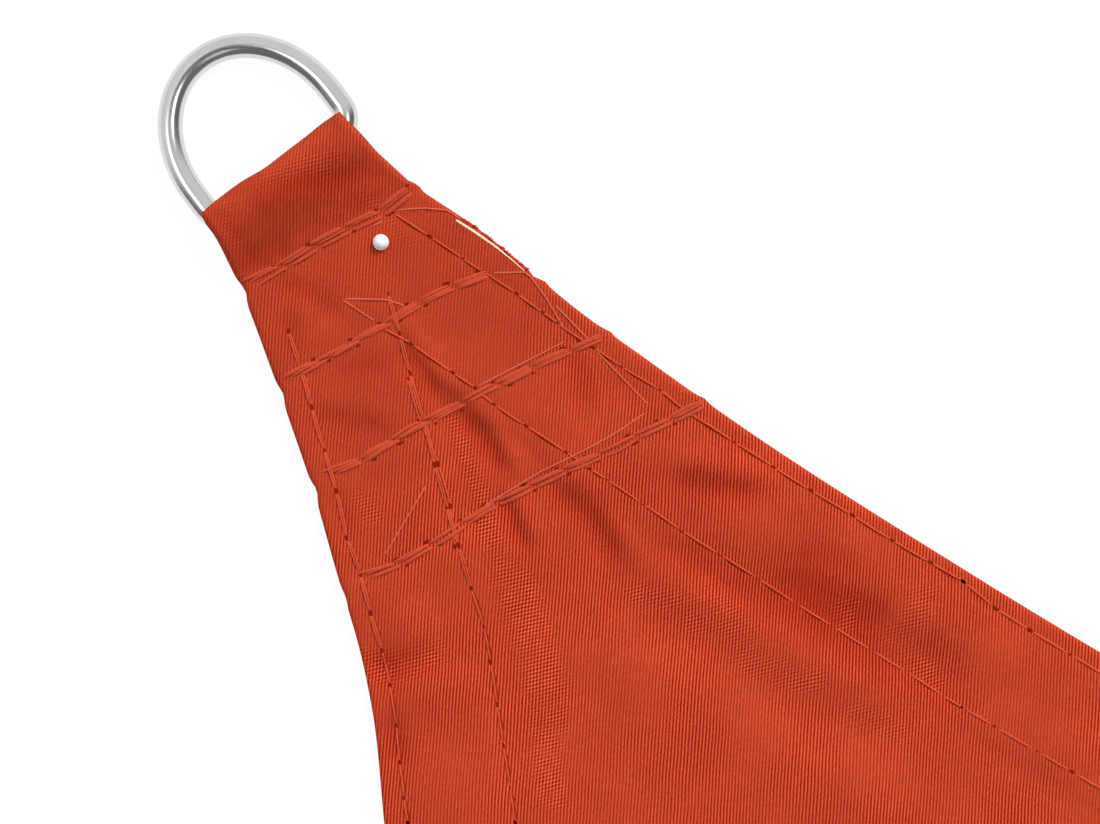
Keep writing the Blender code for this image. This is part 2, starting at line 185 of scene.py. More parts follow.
# Folds of the front corner: (route of (along, across), width, height)
FRONT_FOLDS = (
    (((1, 6), (13, -16)), 4, 0.5),
    (((1, 12.5), (3.4, 0), (9.4, -14)), 2.6, -0.75),
    (((11.5, 10), (12.5, 0), (13, -8)), 2.8, 0.7),
    (((9, 17), (12, 8)), 3, -0.25),
    (fold_beside(1.5, *CELL_FOLD), 2.6, -0.35),
    (fold_beside(-2, *CELL_FOLD), 2.6, 0.35),
    (fold_beside(1.4, *SEAM_FOLD), 2.2, -0.6),
    (fold_beside(-1.8, *SEAM_FOLD), 2.4, 0.5),
    (fold_beside(1.2, (455, 400), (488, 434), (513, 476)), 2.4, -0.75),
    (fold_beside(-1.8, (458, 405), (488, 434), (513, 476)), 2.4, 0.9),
    (fold_beside(1.2, *SPUR_FOLD), 2, -0.8),
    (fold_beside(-1.4, *SPUR_FOLD), 2.2, 0.5),
    (fold_beside(1.6, *BAND_FOLD), 2.8, -0.7),
    (fold_beside(-2, *BAND_FOLD), 2.8, 0.8),
    (fold_beside(4.5, *LONG_FOLD), 6.8, -1.15),
    (fold_beside(-4.5, *LONG_FOLD), 5.5, 0.6),
    (fold_beside(3.2, (650, 520), *HEM_FOLD), 3.6, -0.6),
    (fold_beside(-7.5, (668, 530), *HEM_FOLD), 5, 0.5),
    (fold_beside(-3, (650, 470), (735, 500), (810, 545), (868, 580), (918, 608), (990, 650)), 10, 1.1),
    (fold_beside(1.5, *HEM_CREASE), 2.6, -0.8),
    (fold_beside(-2.2, *HEM_CREASE), 3.2, 0.8),
    (fold_beside(1.5, (790, 540), (865, 562)), 2.8, -0.6),
    (fold_along((770, 568), (830, 602), (892, 634)), 4.6, -1),
    (fold_along((880, 630), (925, 660), (975, 695)), 5, -1.1),
    (fold_along((386, 650), (394, 704)), 2.5, -0.5),
    (fold_along((392, 716), (398, 768)), 2.5, -0.6),
    (fold_along((409, 690), (475, 684)), 4.5, 0.6),
    (fold_along((362, 664), (392, 670), (430, 655)), 3, -0.6),
    (fold_along((380, 690), (420, 700)), 4, 0.5),
    (fold_along((385, 612), (430, 640)), 4, 0.5),
    (((100, 0), (150, -14), (230, -40)), 16, 1.4),
    (((140, 25), (230, 30), (360, 38)), 24, 4.5),
    (((180, -52), (300, -88), (420, -122)), 28, 5),
)
PLAIN_FOLDS = (
    (((44, 4), (90, 9)), 6, -1.2),
    (((90, -14), (170, -38)), 9, -1.8),
    (((80, 12), (180, 33), (330, 62)), 16, 3.6),
    (((150, -30), (270, -62), (400, -98)), 24, 4.6),
)
# Finer creases of the cloth alone
FRONT_CREASES = (
    (((-3, 10), (3, -2), (9, -16)), 2.2, -0.35),
    (((2, 6), (7, -3), (12, -15)), 2.2, 0.3),
    (((8, 16), (11, 5), (15, -15)), 1.8, -0.25),
    (((-3, 16), (6, 15), (13, 16)), 2, -0.35),
    (((15, 14.5), (21, 10.5), (30, 7)), 2.2, -0.45),
    (((22, 15.5), (30, 19.5)), 2, -0.4),
    (((35.5, 16), (43, 5)), 2.2, -0.35),
    (((60.5, -25.5), (67, -24.5), (73, -22)), 2.2, -0.55),
    (((69.5, -29.5), (79.5, -33.5)), 2.2, -0.35),
    (((55.5, 29), (67, 31)), 2, -0.35),
)
# Cross rows of thick sewing on the front corner
FRONT_BANDS = (
    ((12.6, 20.0), *read_spots((256, 283), (272, 273), (307, 251), (348, 230), (391, 209), (411, 190))),
    read_spots((284, 381), (297, 375), (310, 368), (328, 356), (349, 348), (366, 333), (382, 328),
               (409, 309), (448, 289), (480, 276), (489, 273)),
    read_spots((321, 476), (337, 472), (356, 465), (392, 443), (422, 424), (439, 417), (462, 405),
               (476, 396), (505, 382), (542, 363), (580, 347), (604, 337)),
    (*read_spots((356, 577), (373, 575), (413, 557), (448, 533), (498, 502), (550, 478), (580, 463),
                 (611, 451), (647, 430), (673, 419)), (84.8, -42.0)),
)
# Needle holes of the front corner's hem lines; the outer lines are the ones near the edges
LEFT_OUTER_HOLES = read_spots(
    (289, 331), (301, 368), (312, 407), (325, 450), (337, 490), (347, 538), (361, 574), (371, 612),
    (382, 650), (390, 685), (396, 724), (400, 763), (404, 798), (408, 822),
)
LEFT_INNER_HOLES = read_spots(
    (389, 294), (400, 333), (410, 373), (424, 420), (435, 465), (447, 507), (459, 545), (471, 588),
    (484, 626), (491, 662), (497, 704), (503, 745), (510, 787), (515, 822),
)
RIGHT_OUTER_HOLES = read_spots(
    (393, 213), (430, 237), (463, 259), (483, 272), (517, 294), (543, 313), (557, 323), (593, 348),
    (621, 367), (660, 390), (686, 412), (734, 442), (773, 467), (810, 490), (852, 515), (891, 540),
    (929, 562), (962, 581),
)
RIGHT_INNER_HOLES = read_spots(
    (382, 328), (412, 344), (453, 373), (475, 388), (494, 404), (526, 426), (566, 452), (590, 469),
    (606, 479), (642, 503), (681, 530), (719, 554), (757, 578), (797, 604), (833, 626), (872, 650),
    (907, 672), (943, 696), (962, 707),
)
# The same four lines, by their side and by whether they are outer lines
FRONT_HOLES = {
    (Side.LEFT, True): LEFT_OUTER_HOLES,
    (Side.LEFT, False): LEFT_INNER_HOLES,
    (Side.RIGHT, True): RIGHT_OUTER_HOLES,
    (Side.RIGHT, False): RIGHT_INNER_HOLES,
}
# Second thread of the left inner line, beside the first
DOUBLED_HOLES = ((46.8, 3.6), (55.9, 6.7), (64.2, 8.4), (72.5, 11.2), (79.6, 15.2))
# Threads that run free from one row to another
LOOSE_THREADS = (
    read_spots((343, 299), (387, 300), (409, 307)),
    read_spots((343, 300), (376, 322)),
    read_spots((394, 211), (425, 209), (448, 211), (460, 219)),
    read_spots((489, 273), (527, 273), (545, 297), (568, 336)),
    read_spots((554, 304), (590, 342)),
    read_spots((593, 348), (651, 408)),
    read_spots((429, 481), (384, 557)),
    read_spots((368, 226), (376, 221)),
    read_spots((475, 388), (568, 340)),
    ((17.9, -7.8), (18.2, -10.2)),
    read_spots((651, 408), (619, 431), (583, 451), (540, 472), (474, 512)),
)
# Places where the cross threads of the weave show: (route, width, strength)
CROSSWEAVE = (
    (((57.5, 1), (64, 2), (74, 5)), 1.9, 0.5),
    (((78.5, 6.5), (81.5, 8), (89.5, 9), (98, 11)), 2.2, 0.8),
    (fold_along((512, 580), (524, 610), (531, 640), (545, 683)), 4.3, 1),
    (fold_along((545, 683), (548, 710), (546, 740)), 3.7, 0.85),
    (fold_along((547, 740), (550, 770), (553, 800)), 2.7, 0.7),
    (fold_along((636, 592), (690, 605), (697, 624)), 2.6, 0.5),
    (fold_along((705, 598), (743, 633), (748, 661), (783, 671), (811, 678)), 3.2, 0.6),
    (fold_along((859, 711), (896, 731)), 2.6, 0.45),
    (fold_along((843, 605), (846, 622)), 2.2, 0.7),
    (fold_along((924, 598), (907, 625), (896, 638)), 3, 0.7),
    (fold_along((362, 660), (392, 668), (432, 652)), 3.2, 0.7),
    (fold_along((356, 500), (372, 515)), 2.4, 0.5),
    (fold_along((262, 176), (300, 170), (340, 164)), 2.4, 0.45),
    (fold_along((226, 210), (238, 246)), 2, 0.4),
    (fold_along((372, 205), (420, 250)), 2, 0.4),
    (fold_along((910, 655), (930, 680)), 2.4, 0.8),
)


# ---- curves

def smooth(start: float, end: float, value: Values) -> Values:
    """A step from 0 to 1 with soft ends.

    Args:
        start: where the step leaves 0.
        end: where it reaches 1.
        value: the places to read it at.

    Returns:
        The step's heights.
    """
    share = np.clip((value - start) / (end - start), 0.0, 1.0)
    return share * share * (3 - 2 * share)


class SmoothCurve:
    """A smooth curve through points, level beyond its ends."""

    def __init__(self, points: Iterable[tuple[float, float]]) -> None:
        """Take the points as (place, height) in millimetres.

        Args:
            points: the curve's points, in rising order of place.
        """
        self.places, self.heights = np.array(list(points), float).T * MM
        last = len(self.places) - 1
        low = np.maximum(np.arange(last + 1) - 1, 0)
        high = np.minimum(np.arange(last + 1) + 1, last)
        self.slopes = (self.heights[high] - self.heights[low]) / (self.places[high] - self.places[low])

    def at(self, value: Values) -> Values:
        """Heights at the given places.

        Args:
            value: the places, in metres.

        Returns:
            The heights, in metres.
        """
        left = np.clip(np.searchsorted(self.places, value, side="right") - 1, 0, len(self.places) - 2)
        run = self.places[left + 1] - self.places[left]
        t = np.clip((value - self.places[left]) / run, 0.0, 1.0)
        rise = self.heights[left + 1] - self.heights[left]
        bend = (t**3 - 2 * t**2 + t) * self.slopes[left] + (t**3 - t**2) * self.slopes[left + 1]
        return self.heights[left] + rise * (3 * t**2 - 2 * t**3) + run * bend


@dataclass(frozen=True)
class Route:
    """A line of straight stretches through (along, across) places, in metres."""

    places: Values

    @classmethod
    def of_mm(cls, places: Sequence[tuple[float, float]]) -> "Route":
        """A route from a table in millimetres."""
        return cls(np.array(places, float) * MM)

    @property
    def walked(self) -> Values:
        """Distance from the start to each place."""
        steps = np.linalg.norm(np.diff(self.places, axis=0), axis=1)
        return np.concatenate(([0.0], np.cumsum(steps)))

    def nearest(self, along: Values, across: Values) -> tuple[Values, Values]:
        """Distance to the route, and the share of its length at the nearest place.

        Args:
            along: places along a corner's axis.
            across: places across it.

        Returns:
            The distances, and the shares from 0 at its start to 1 at its end.
        """
        spots = np.stack((along, across), axis=-1)
        walked = self.walked
        best = np.full(along.shape, np.inf)
        best_share = np.zeros(along.shape)
        for start, end, before, after in zip(self.places, self.places[1:], walked, walked[1:]):
            run = end - start
            share = np.clip(((spots - start) @ run) / (run @ run), 0.0, 1.0)
            distance = np.linalg.norm(spots - start - share[..., None] * run, axis=-1)
            closer = distance < best
            best = np.where(closer, distance, best)
            best_share = np.where(closer, (before + share * (after - before)) / walked[-1], best_share)
        return best, best_share

    def walk(self, distances: Values) -> Values:
        """Places at the given distances from the start.

        Args:
            distances: how far along the route to go.

        Returns:
            The (along, across) places, row by row.
        """
        walked = self.walked
        columns = [np.interp(distances, walked, self.places[:, i]) for i in (0, 1)]
        return np.stack(columns, axis=-1)

    def beside(self, offset: float) -> "Route":
        """The same route moved sideways.

        Args:
            offset: how far. For a route that runs along the corner's axis, above 0 is towards rising
            across.

        Returns:
            The moved route.
        """
        run = np.gradient(self.places, axis=0)
        run /= np.linalg.norm(run, axis=1)[:, None]
        return Route(self.places + offset * np.stack((-run[:, 1], run[:, 0]), axis=-1))


@dataclass(frozen=True)
class Fold:
    """A ridge or hollow in the cloth that dies away towards its ends."""

    route: Route
    width: float
    height: float
    taper: float = 0.22
    end_height: float = 0.25

    @classmethod
    def of_mm(cls, row: tuple) -> "Fold":
        """A fold from a table row in millimetres."""
        route, width, height = row
        return cls(Route.of_mm(route), width * MM, height * MM)

    def lift(self, along: Values, across: Values) -> Values:
        """How much the fold lifts the cloth.

        Args:
            along: places along a corner's axis.
            across: places across it.

        Returns:
            The lift at each place, negative in a hollow.
        """
        distance, share = self.route.nearest(along, across)
        ends = smooth(0, self.taper, share) * smooth(0, self.taper, 1 - share)
        strength = self.end_height + (1 - self.end_height) * ends
        return self.height * strength * np.exp(-((distance / self.width) ** 2))


@dataclass(frozen=True)
class Swell:
    """A long, low wave across the body of the sail."""

    heading: float
    length: float
    height: float
    phase: float

    def lift(self, x: Values, y: Values) -> Values:
        """How much the wave lifts the cloth at places in the frame.

        Args:
            x: places along X.
            y: places along Y.

        Returns:
            The lift at each place.
        """
        turn = math.radians(self.heading)
        travel = (x * math.cos(turn) + y * math.sin(turn)) / self.length
        return self.height * (0.5 + 0.5 * np.sin(2 * math.pi * travel + self.phase))


# ---- shape of the sail

@dataclass(frozen=True)
class SailShape:
    """Outline and surface of the sail, the same as the solid's, with finer creases on top."""

    side: float = 2.0
    edge_sag: float = 0.07
    tip: float = 17.75 * MM
    corner_half_angle: float = math.radians(30)
    edge_lean: float = math.radians(24)
    cloth: float = 1.0 * MM
    hem_width: float = 24.0 * MM
    hem_lift: float = 0.6 * MM
    hem_step: float = 4.5 * MM
    tail_end: float = 81.0 * MM
    tail_run: float = 14.0 * MM
    tail_lift: float = 0.8 * MM
    front_slant: float = -0.12
    slant_reach: float = 25.0 * MM
    narrow_fold: float = 5.0
    hollow_depth: float = 1.0 * MM
    rest_relief: float = 0.6 * MM
    fold_softness: float = 0.4 * MM
    fold_lift: float = 1.0 * MM
    fold_lift_start: float = 120 * MM
    fold_lift_end: float = 260 * MM
    outline_blend: float = 300 * MM
    loop_radius: float = 4.0 * MM
    loop_seam: float = 15.0 * MM
    loop_top: float = 1.0 * MM
    loop_end: float = 12.5 * MM
    loop_leg: float = 17.0 * MM
    loop_squareness: float = 3.5
    seam_depth: float = 0.14 * MM
    band_depth: float = 0.25 * MM
    seam_width: float = 1.2 * MM
    band_width: float = 1.7 * MM
    outer_line: float = 3.5 * MM
    inner_line: float = 23.4 * MM
    plain_bands: tuple = (15 * MM, 35.5 * MM, 57 * MM, 79 * MM)
    swells: tuple = (
        Swell(25, 0.61, 1.5 * MM, 0.4),
        Swell(100, 0.43, 1.1 * MM, 2.0),
        Swell(155, 0.35, 0.9 * MM, 4.1),
        Swell(62, 0.27, 0.6 * MM, 1.1),
    )
    swell_start: float = 170 * MM
    swell_end: float = 430 * MM
    even_lines: tuple = (130 * MM, 150 * MM)
    edge_places: int = 220

    @property
    def circumradius(self) -> float:
        """From the middle of the sail to each bar."""
        return self.side / math.sqrt(3)

    @property
    def edge_chord(self) -> float:
        """Straight length of an edge."""
        return self.side - 2 * self.tip * math.sin(self.corner_half_angle)

    @property
    def edge_middle(self) -> float:
        """Place along a corner's axis level with the middle of its edges."""
        half = self.edge_chord / 2
        return half * math.cos(self.corner_half_angle) + self.edge_sag * math.sin(self.corner_half_angle)

    def matrix(self, corner: Corner) -> Matrix:
        """From a corner's (across, along) place to the frame."""
        turn = Matrix.Rotation(CORNER_STEP * corner.value, 4, "Z")
        return Matrix.Translation(SAIL_MIDDLE) @ turn @ Matrix.Translation((0, -self.circumradius, 0))

    def in_frame(self, corner: Corner, along: Values, across: Values, height: Values) -> Values:
        """Places of a corner as rows of frame coordinates.

        Args:
            corner: the corner that the places belong to.
            along: places along its axis.
            across: places across it.
            height: heights over the floor.

        Returns:
            The places as (x, y, z) along the last axis.
        """
        matrix = np.array(self.matrix(corner))
        spots = np.stack((across, along, height, np.ones_like(along)), axis=-1)
        return (spots @ matrix.T)[..., :3]

    def even_edge(self, along: Values) -> Values:
        """Half width of a corner with an even edge: a parabola between two corners.

        Args:
            along: places along a corner's axis.

        Returns:
            The half width at each place.
        """
        chord, sag = self.edge_chord, self.edge_sag
        fall = 2 * sag / chord
        reach = math.cos(self.corner_half_angle) + fall
        travel = (reach - np.sqrt(reach**2 - 4 * fall * along / chord)) * chord / (2 * fall)
        dip = 4 * sag * travel * (chord - travel) / chord**2
        return self.tip + travel * math.sin(self.corner_half_angle) - dip * math.cos(self.corner_half_angle)

    def half_width(self, corner: Corner, side: Side, along: Values) -> Values:
        """Half width of the sail at places along a corner's axis.

        Args:
            corner: which corner.
            side: which of its two edges.
            along: places along its axis.

        Returns:
            The half width at each place.
        """
        along = np.asarray(along, float)
        if corner is Corner.FRONT:
            rows = [(row[0], row[1] if side is Side.LEFT else row[2]) for row in FRONT_OUTLINE]
        else:
            rows = [(row[0], (row[1] + row[2]) / 2) for row in FRONT_OUTLINE]
        near = SmoothCurve(rows).at(along)
        last = rows[-1][0] * MM
        missing = self.even_edge(np.array(last)) - rows[-1][1] * MM
        fade = 1 - smooth(last, last + self.outline_blend, along)
        far = self.even_edge(np.clip(along, last, self.edge_middle)) - missing * fade
        width = np.where(along <= last, near, far)
        if corner is Corner.FRONT:
            for place, move, length in FRONT_NUBS[side]:
                width = width + move * MM * np.exp(-(((along - place * MM) / (length * MM)) ** 2))
        return width

    def inset(self, corner: Corner, along: Values, across: Values) -> Values:
        """Rough distance from the nearer edge.

        Args:
            corner: the corner that the places belong to.
            along: places along its axis.
            across: places across it.

        Returns:
            The distance at each place.
        """
        left = self.half_width(corner, Side.LEFT, along)
        right = self.half_width(corner, Side.RIGHT, along)
        return np.where(across >= 0, left - across, right + across) * math.cos(self.edge_lean)

    def slant(self, corner: Corner) -> float:
        """How far the cross seams lean, along by across."""
        return self.front_slant if corner is Corner.FRONT else 0.0

    def thickness(self, corner: Corner, along: Values, across: Values) -> Values:
        """Thickness of the cloth with its hem and its folded-back corner.

        Args:
            corner: the corner that the places belong to.
            along: places along its axis.
            across: places across it.

        Returns:
            The thickness at each place.
        """
        hem = 1 - smooth(self.hem_width, self.hem_width + self.hem_step, self.inset(corner, along, across))
        place = along - self.slant(corner) * across
        tail = 1 - smooth(self.tail_end, self.tail_end + self.tail_run, place)
        return self.cloth + self.hem_lift * hem + self.tail_lift * tail

    def lie(self, corner: Corner, along: Values, across: Values) -> Values:
        """Height of the cloth's natural lie over the floor, from the solid's folds.

        Args:
            corner: the corner that the places belong to.
            along: places along its axis.
            across: places across it.

        Returns:
            The height at each place, never below the floor.
        """
        rows = FRONT_FOLDS if corner is Corner.FRONT else PLAIN_FOLDS
        height = self.fold_lift * (1 - smooth(self.fold_lift_start, self.fold_lift_end, along))
        height = height * smooth(0, self.loop_seam, along)
        for row in rows:
            height = height + Fold.of_mm(row).lift(along, across)
        return (height + np.sqrt(height**2 + self.fold_softness**2)) / 2

    def waves(self, corner: Corner, along: Values, across: Values) -> Values:
        """Low waves of the body, which die away towards the corners.

        Args:
            corner: the corner that the places belong to.
            along: places along its axis.
            across: places across it.

        Returns:
            The lift at each place.
        """
        spots = self.in_frame(corner, along, across, np.zeros_like(along))
        lift = sum(swell.lift(spots[..., 0], spots[..., 1]) for swell in self.swells)
        return lift * smooth(self.swell_start, self.swell_end, along)

    def creases(self, corner: Corner, along: Values, across: Values) -> Values:
        """Fine creases and the hollows along the sewing, on the top of the cloth.

        Args:
            corner: the corner that the places belong to.
            along: places along its axis.
            across: places across it.

        Returns:
            The lift at each place, negative in a hollow.
        """
        inset = self.inset(corner, along, across)
        lines = sum(np.exp(-(((inset - line) / self.seam_width) ** 2))
                    for line in (self.outer_line, self.inner_line))
        if corner is not Corner.FRONT:
            bands = sum(np.exp(-(((along - place) / self.band_width) ** 2)) for place in self.plain_bands)
            started = smooth(self.loop_seam, 2 * self.loop_seam, along)
            return -self.seam_depth * lines * started - self.band_depth * bands
        drop = -self.seam_depth * lines * smooth(*self.even_lines, along)
        for holes in FRONT_HOLES.values():
            distance, _ = Route.of_mm(holes).nearest(along, across)
            drop = drop - self.seam_depth * np.exp(-((distance / self.seam_width) ** 2))
        for places in FRONT_BANDS:
            distance, _ = Route.of_mm(places).nearest(along, across)
            drop = drop - self.band_depth * np.exp(-((distance / self.band_width) ** 2))
        for row in FRONT_CREASES:
            drop = drop + Fold.of_mm(row).lift(along, across)
        return drop

    def hollows(self, corner: Corner, along: Values, across: Values) -> Values:
        """How deep a place lies in the narrow hollows of the folds, from 0 to 1: the strength of the
        painted shade there.

        Args:
            corner: the corner that the places belong to.
            along: places along its axis.
            across: places across it.

        Returns:
            The share at each place.
        """
        rows = FRONT_FOLDS + FRONT_CREASES if corner is Corner.FRONT else PLAIN_FOLDS
        narrow = [Fold.of_mm(row) for row in rows if row[1] < self.narrow_fold and row[2] < 0]
        depth = -sum((fold.lift(along, across) for fold in narrow), np.zeros_like(along))
        return np.clip(depth / self.hollow_depth, 0.0, 1.0)

    def loop_front(self, across: Values) -> Values:
        """How far a loop reaches past the bar's middle line."""
        return SmoothCurve(LOOP_FRONT).at(across)

    def heights(self, corner: Corner, along: Values, across: Values) -> tuple[Values, Values]:
        """Underside and top of the cloth.

        Args:
            corner: the corner that the places belong to.
            along: places along its axis.
            across: places across it.

        Returns:
            Heights of the underside and of the top over the floor.
        """
        power = 2 + self.loop_squareness * smooth(self.loop_end, self.loop_leg, np.abs(across))
        share = np.clip(-along / self.loop_front(across), 0.0, 1.0)
        rise = self.loop_radius * (1 - share**power) ** (1 / power)
        thickness = self.thickness(corner, along, across)
        lie = self.lie(corner, along, across) + self.waves(corner, along, across)
        leaning = np.clip(across, -self.slant_reach, self.slant_reach)
        seam = self.loop_seam + self.slant(corner) * leaning
        closing = 1 - smooth(0.0, 1.0, (along - self.loop_top) / (seam - self.loop_top))
        loop = (2 * self.loop_radius - thickness - lie) * closing
        under = np.maximum(0.0, lie - self.rest_relief) * smooth(0, self.loop_seam, along)
        crease = self.creases(corner, along, across)
        over = np.maximum(thickness + lie + loop + crease, under + self.cloth / 2)
        on_loop = along < 0
        low = np.where(on_loop, self.loop_radius - rise, under)
        high = np.where(on_loop, self.loop_radius + rise * (1 + crease / self.loop_radius), over)
        return low, high

    def top(self, corner: Corner, along: Values, across: Values) -> Values:
        """Height of the top of the cloth."""
        return self.heights(corner, along, across)[1]

    def edge_line(self, corner: Corner, side: Side, inset: float, start: float) -> Route:
        """A line beside an edge, from a place near the corner to the edge's middle.

        Args:
            corner: which corner.
            side: which of its two edges.
            inset: how far the line lies from the edge.
            start: where it starts along the corner's axis.

        Returns:
            The line as a route.
        """
        along = np.linspace(start, self.edge_middle, self.edge_places)
        edge = np.stack((along, side.value * self.half_width(corner, side, along)), axis=-1)
        run = np.gradient(edge, axis=0)
        run /= np.linalg.norm(run, axis=1)[:, None]
        inward = side.value * np.stack((run[:, 1], -run[:, 0]), axis=-1)
        return Route(edge + inset * inward)


# ---- finishes

class Wiring:
    """A material's nodes, added and wired in short calls."""

    def __init__(self, name: str) -> None:
        """Start a material with one Principled shader.

        Args:
            name: the material's name.
        """
        self.material = bpy.data.materials.new(name)
        self.material.use_nodes = True
        self.nodes = self.material.node_tree.nodes
        self.links = self.material.node_tree.links
        self.shader = self.nodes["Principled BSDF"]

    def add(self, kind: str, **settings: object) -> bpy.types.Node:
        """Add a node and set its own properties.

        Args:
            kind: the node's type.
            settings: its properties by name.

        Returns:
            The node.
        """
        node = self.nodes.new(kind)
        for name, value in settings.items():
            setattr(node, name, value)
        return node

    def feed(self, socket: bpy.types.NodeSocket, value: object) -> None:
        """Link a socket to another, or set it to a number, place or colour.

        Args:
            socket: the input to feed.
            value: an output or a plain value.
        """
        if isinstance(value, bpy.types.NodeSocket):
            self.links.new(value, socket)
        else:
            socket.default_value = value

    def place(self) -> bpy.types.NodeSocket:
        """Places on the object, in metres."""
        return self.add("ShaderNodeTexCoord").outputs["Object"]

    def attribute(self, name: str) -> bpy.types.NodeSocket:
        """A number that the mesh carries at its corners."""
        return self.add("ShaderNodeAttribute", attribute_name=name).outputs["Fac"]

    def math(self, operation: str, *values: object) -> bpy.types.NodeSocket:
        """A Math node's result.

        Args:
            operation: what the node does.
            values: outputs or numbers for its inputs, in order.

        Returns:
            The node's output.
        """
        node = self.add("ShaderNodeMath", operation=operation)
        for socket, value in zip(node.inputs, values):
            self.feed(socket, value)
        return node.outputs[0]

    def noise(self, place: bpy.types.NodeSocket, scale: float, detail: float,
              output: str = "Fac") -> bpy.types.NodeSocket:
        """A noise at a scale per metre.

        Args:
            place: where to read it.
            scale: the scale.
            detail: how many finer steps it has.
            output: the number or the colour.

        Returns:
            That output of the node.
        """
        node = self.add("ShaderNodeTexNoise")
        self.feed(node.inputs["Vector"], place)
        node.inputs["Scale"].default_value = scale
        node.inputs["Detail"].default_value = detail
        return node.outputs[output]

    def spread(self, value: bpy.types.NodeSocket, low: float, high: float,
               source: tuple[float, float] = (0.0, 1.0)) -> bpy.types.NodeSocket:
        """A value spread from a source range to low and high.

        Args:
            value: the value.
            low: what the range's start becomes.
            high: what its end becomes.
            source: the range that the value comes from.

        Returns:
            The spread value.
        """
        node = self.add("ShaderNodeMapRange")
        self.feed(node.inputs["Value"], value)
        node.inputs["From Min"].default_value, node.inputs["From Max"].default_value = source
        node.inputs["To Min"].default_value, node.inputs["To Max"].default_value = low, high
        return node.outputs[0]

    def limited(self, value: bpy.types.NodeSocket) -> bpy.types.NodeSocket:
        """A value kept between 0 and 1.

        Args:
            value: the value.

        Returns:
            The limited value.
        """
        node = self.add("ShaderNodeClamp")
        self.feed(node.inputs["Value"], value)
        return node.outputs[0]

    def tint(self, colour: object, strength: bpy.types.NodeSocket) -> bpy.types.NodeSocket:
        """A colour made lighter or darker by a number.

        Args:
            colour: an output or a plain colour.
            strength: the number.

        Returns:
            The tinted colour.
        """
        node = self.add("ShaderNodeVectorMath", operation="SCALE")
        self.feed(node.inputs[0], colour)
        self.feed(node.inputs["Scale"], strength)
        return node.outputs[0]

    def blend(self, share: bpy.types.NodeSocket, first: tuple, second: tuple) -> bpy.types.NodeSocket:
        """A colour between two others.

        Args:
            share: how much of the second shows.
            first: the first colour.
            second: the second colour.

        Returns:
            The mixed colour.
        """
        node = self.add("ShaderNodeMix", data_type="RGBA")
        sockets = {socket.identifier: socket for socket in node.inputs}
        self.feed(sockets["Factor_Float"], share)
        self.feed(sockets["A_Color"], (*first, 1))
        self.feed(sockets["B_Color"], (*second, 1))
        return next(socket for socket in node.outputs if socket.identifier == "Result_Color")

    def surface(self, roughness: float, specular: float) -> None:
        """Set the shader's roughness and gloss."""
        self.shader.inputs["Roughness"].default_value = roughness
        self.shader.inputs["Specular IOR Level"].default_value = specular

    def bump(self, height: bpy.types.NodeSocket, depth: float, strength: float) -> None:
        """Give the shader a relief of some depth in metres.

        Args:
            height: the relief's heights.
            depth: how deep a height of one is.
            strength: how strongly it shows.
        """
        node = self.add("ShaderNodeBump")
        node.inputs["Strength"].default_value = strength
        node.inputs["Distance"].default_value = depth
        self.feed(node.inputs["Height"], height)
        self.links.new(node.outputs[0], self.shader.inputs["Normal"])


NOISE_MIDDLE = (0.3, 0.7)  # between these lie nearly all values of a noise
NOISE_CORE = (0.35, 0.65)  # and between these most of them


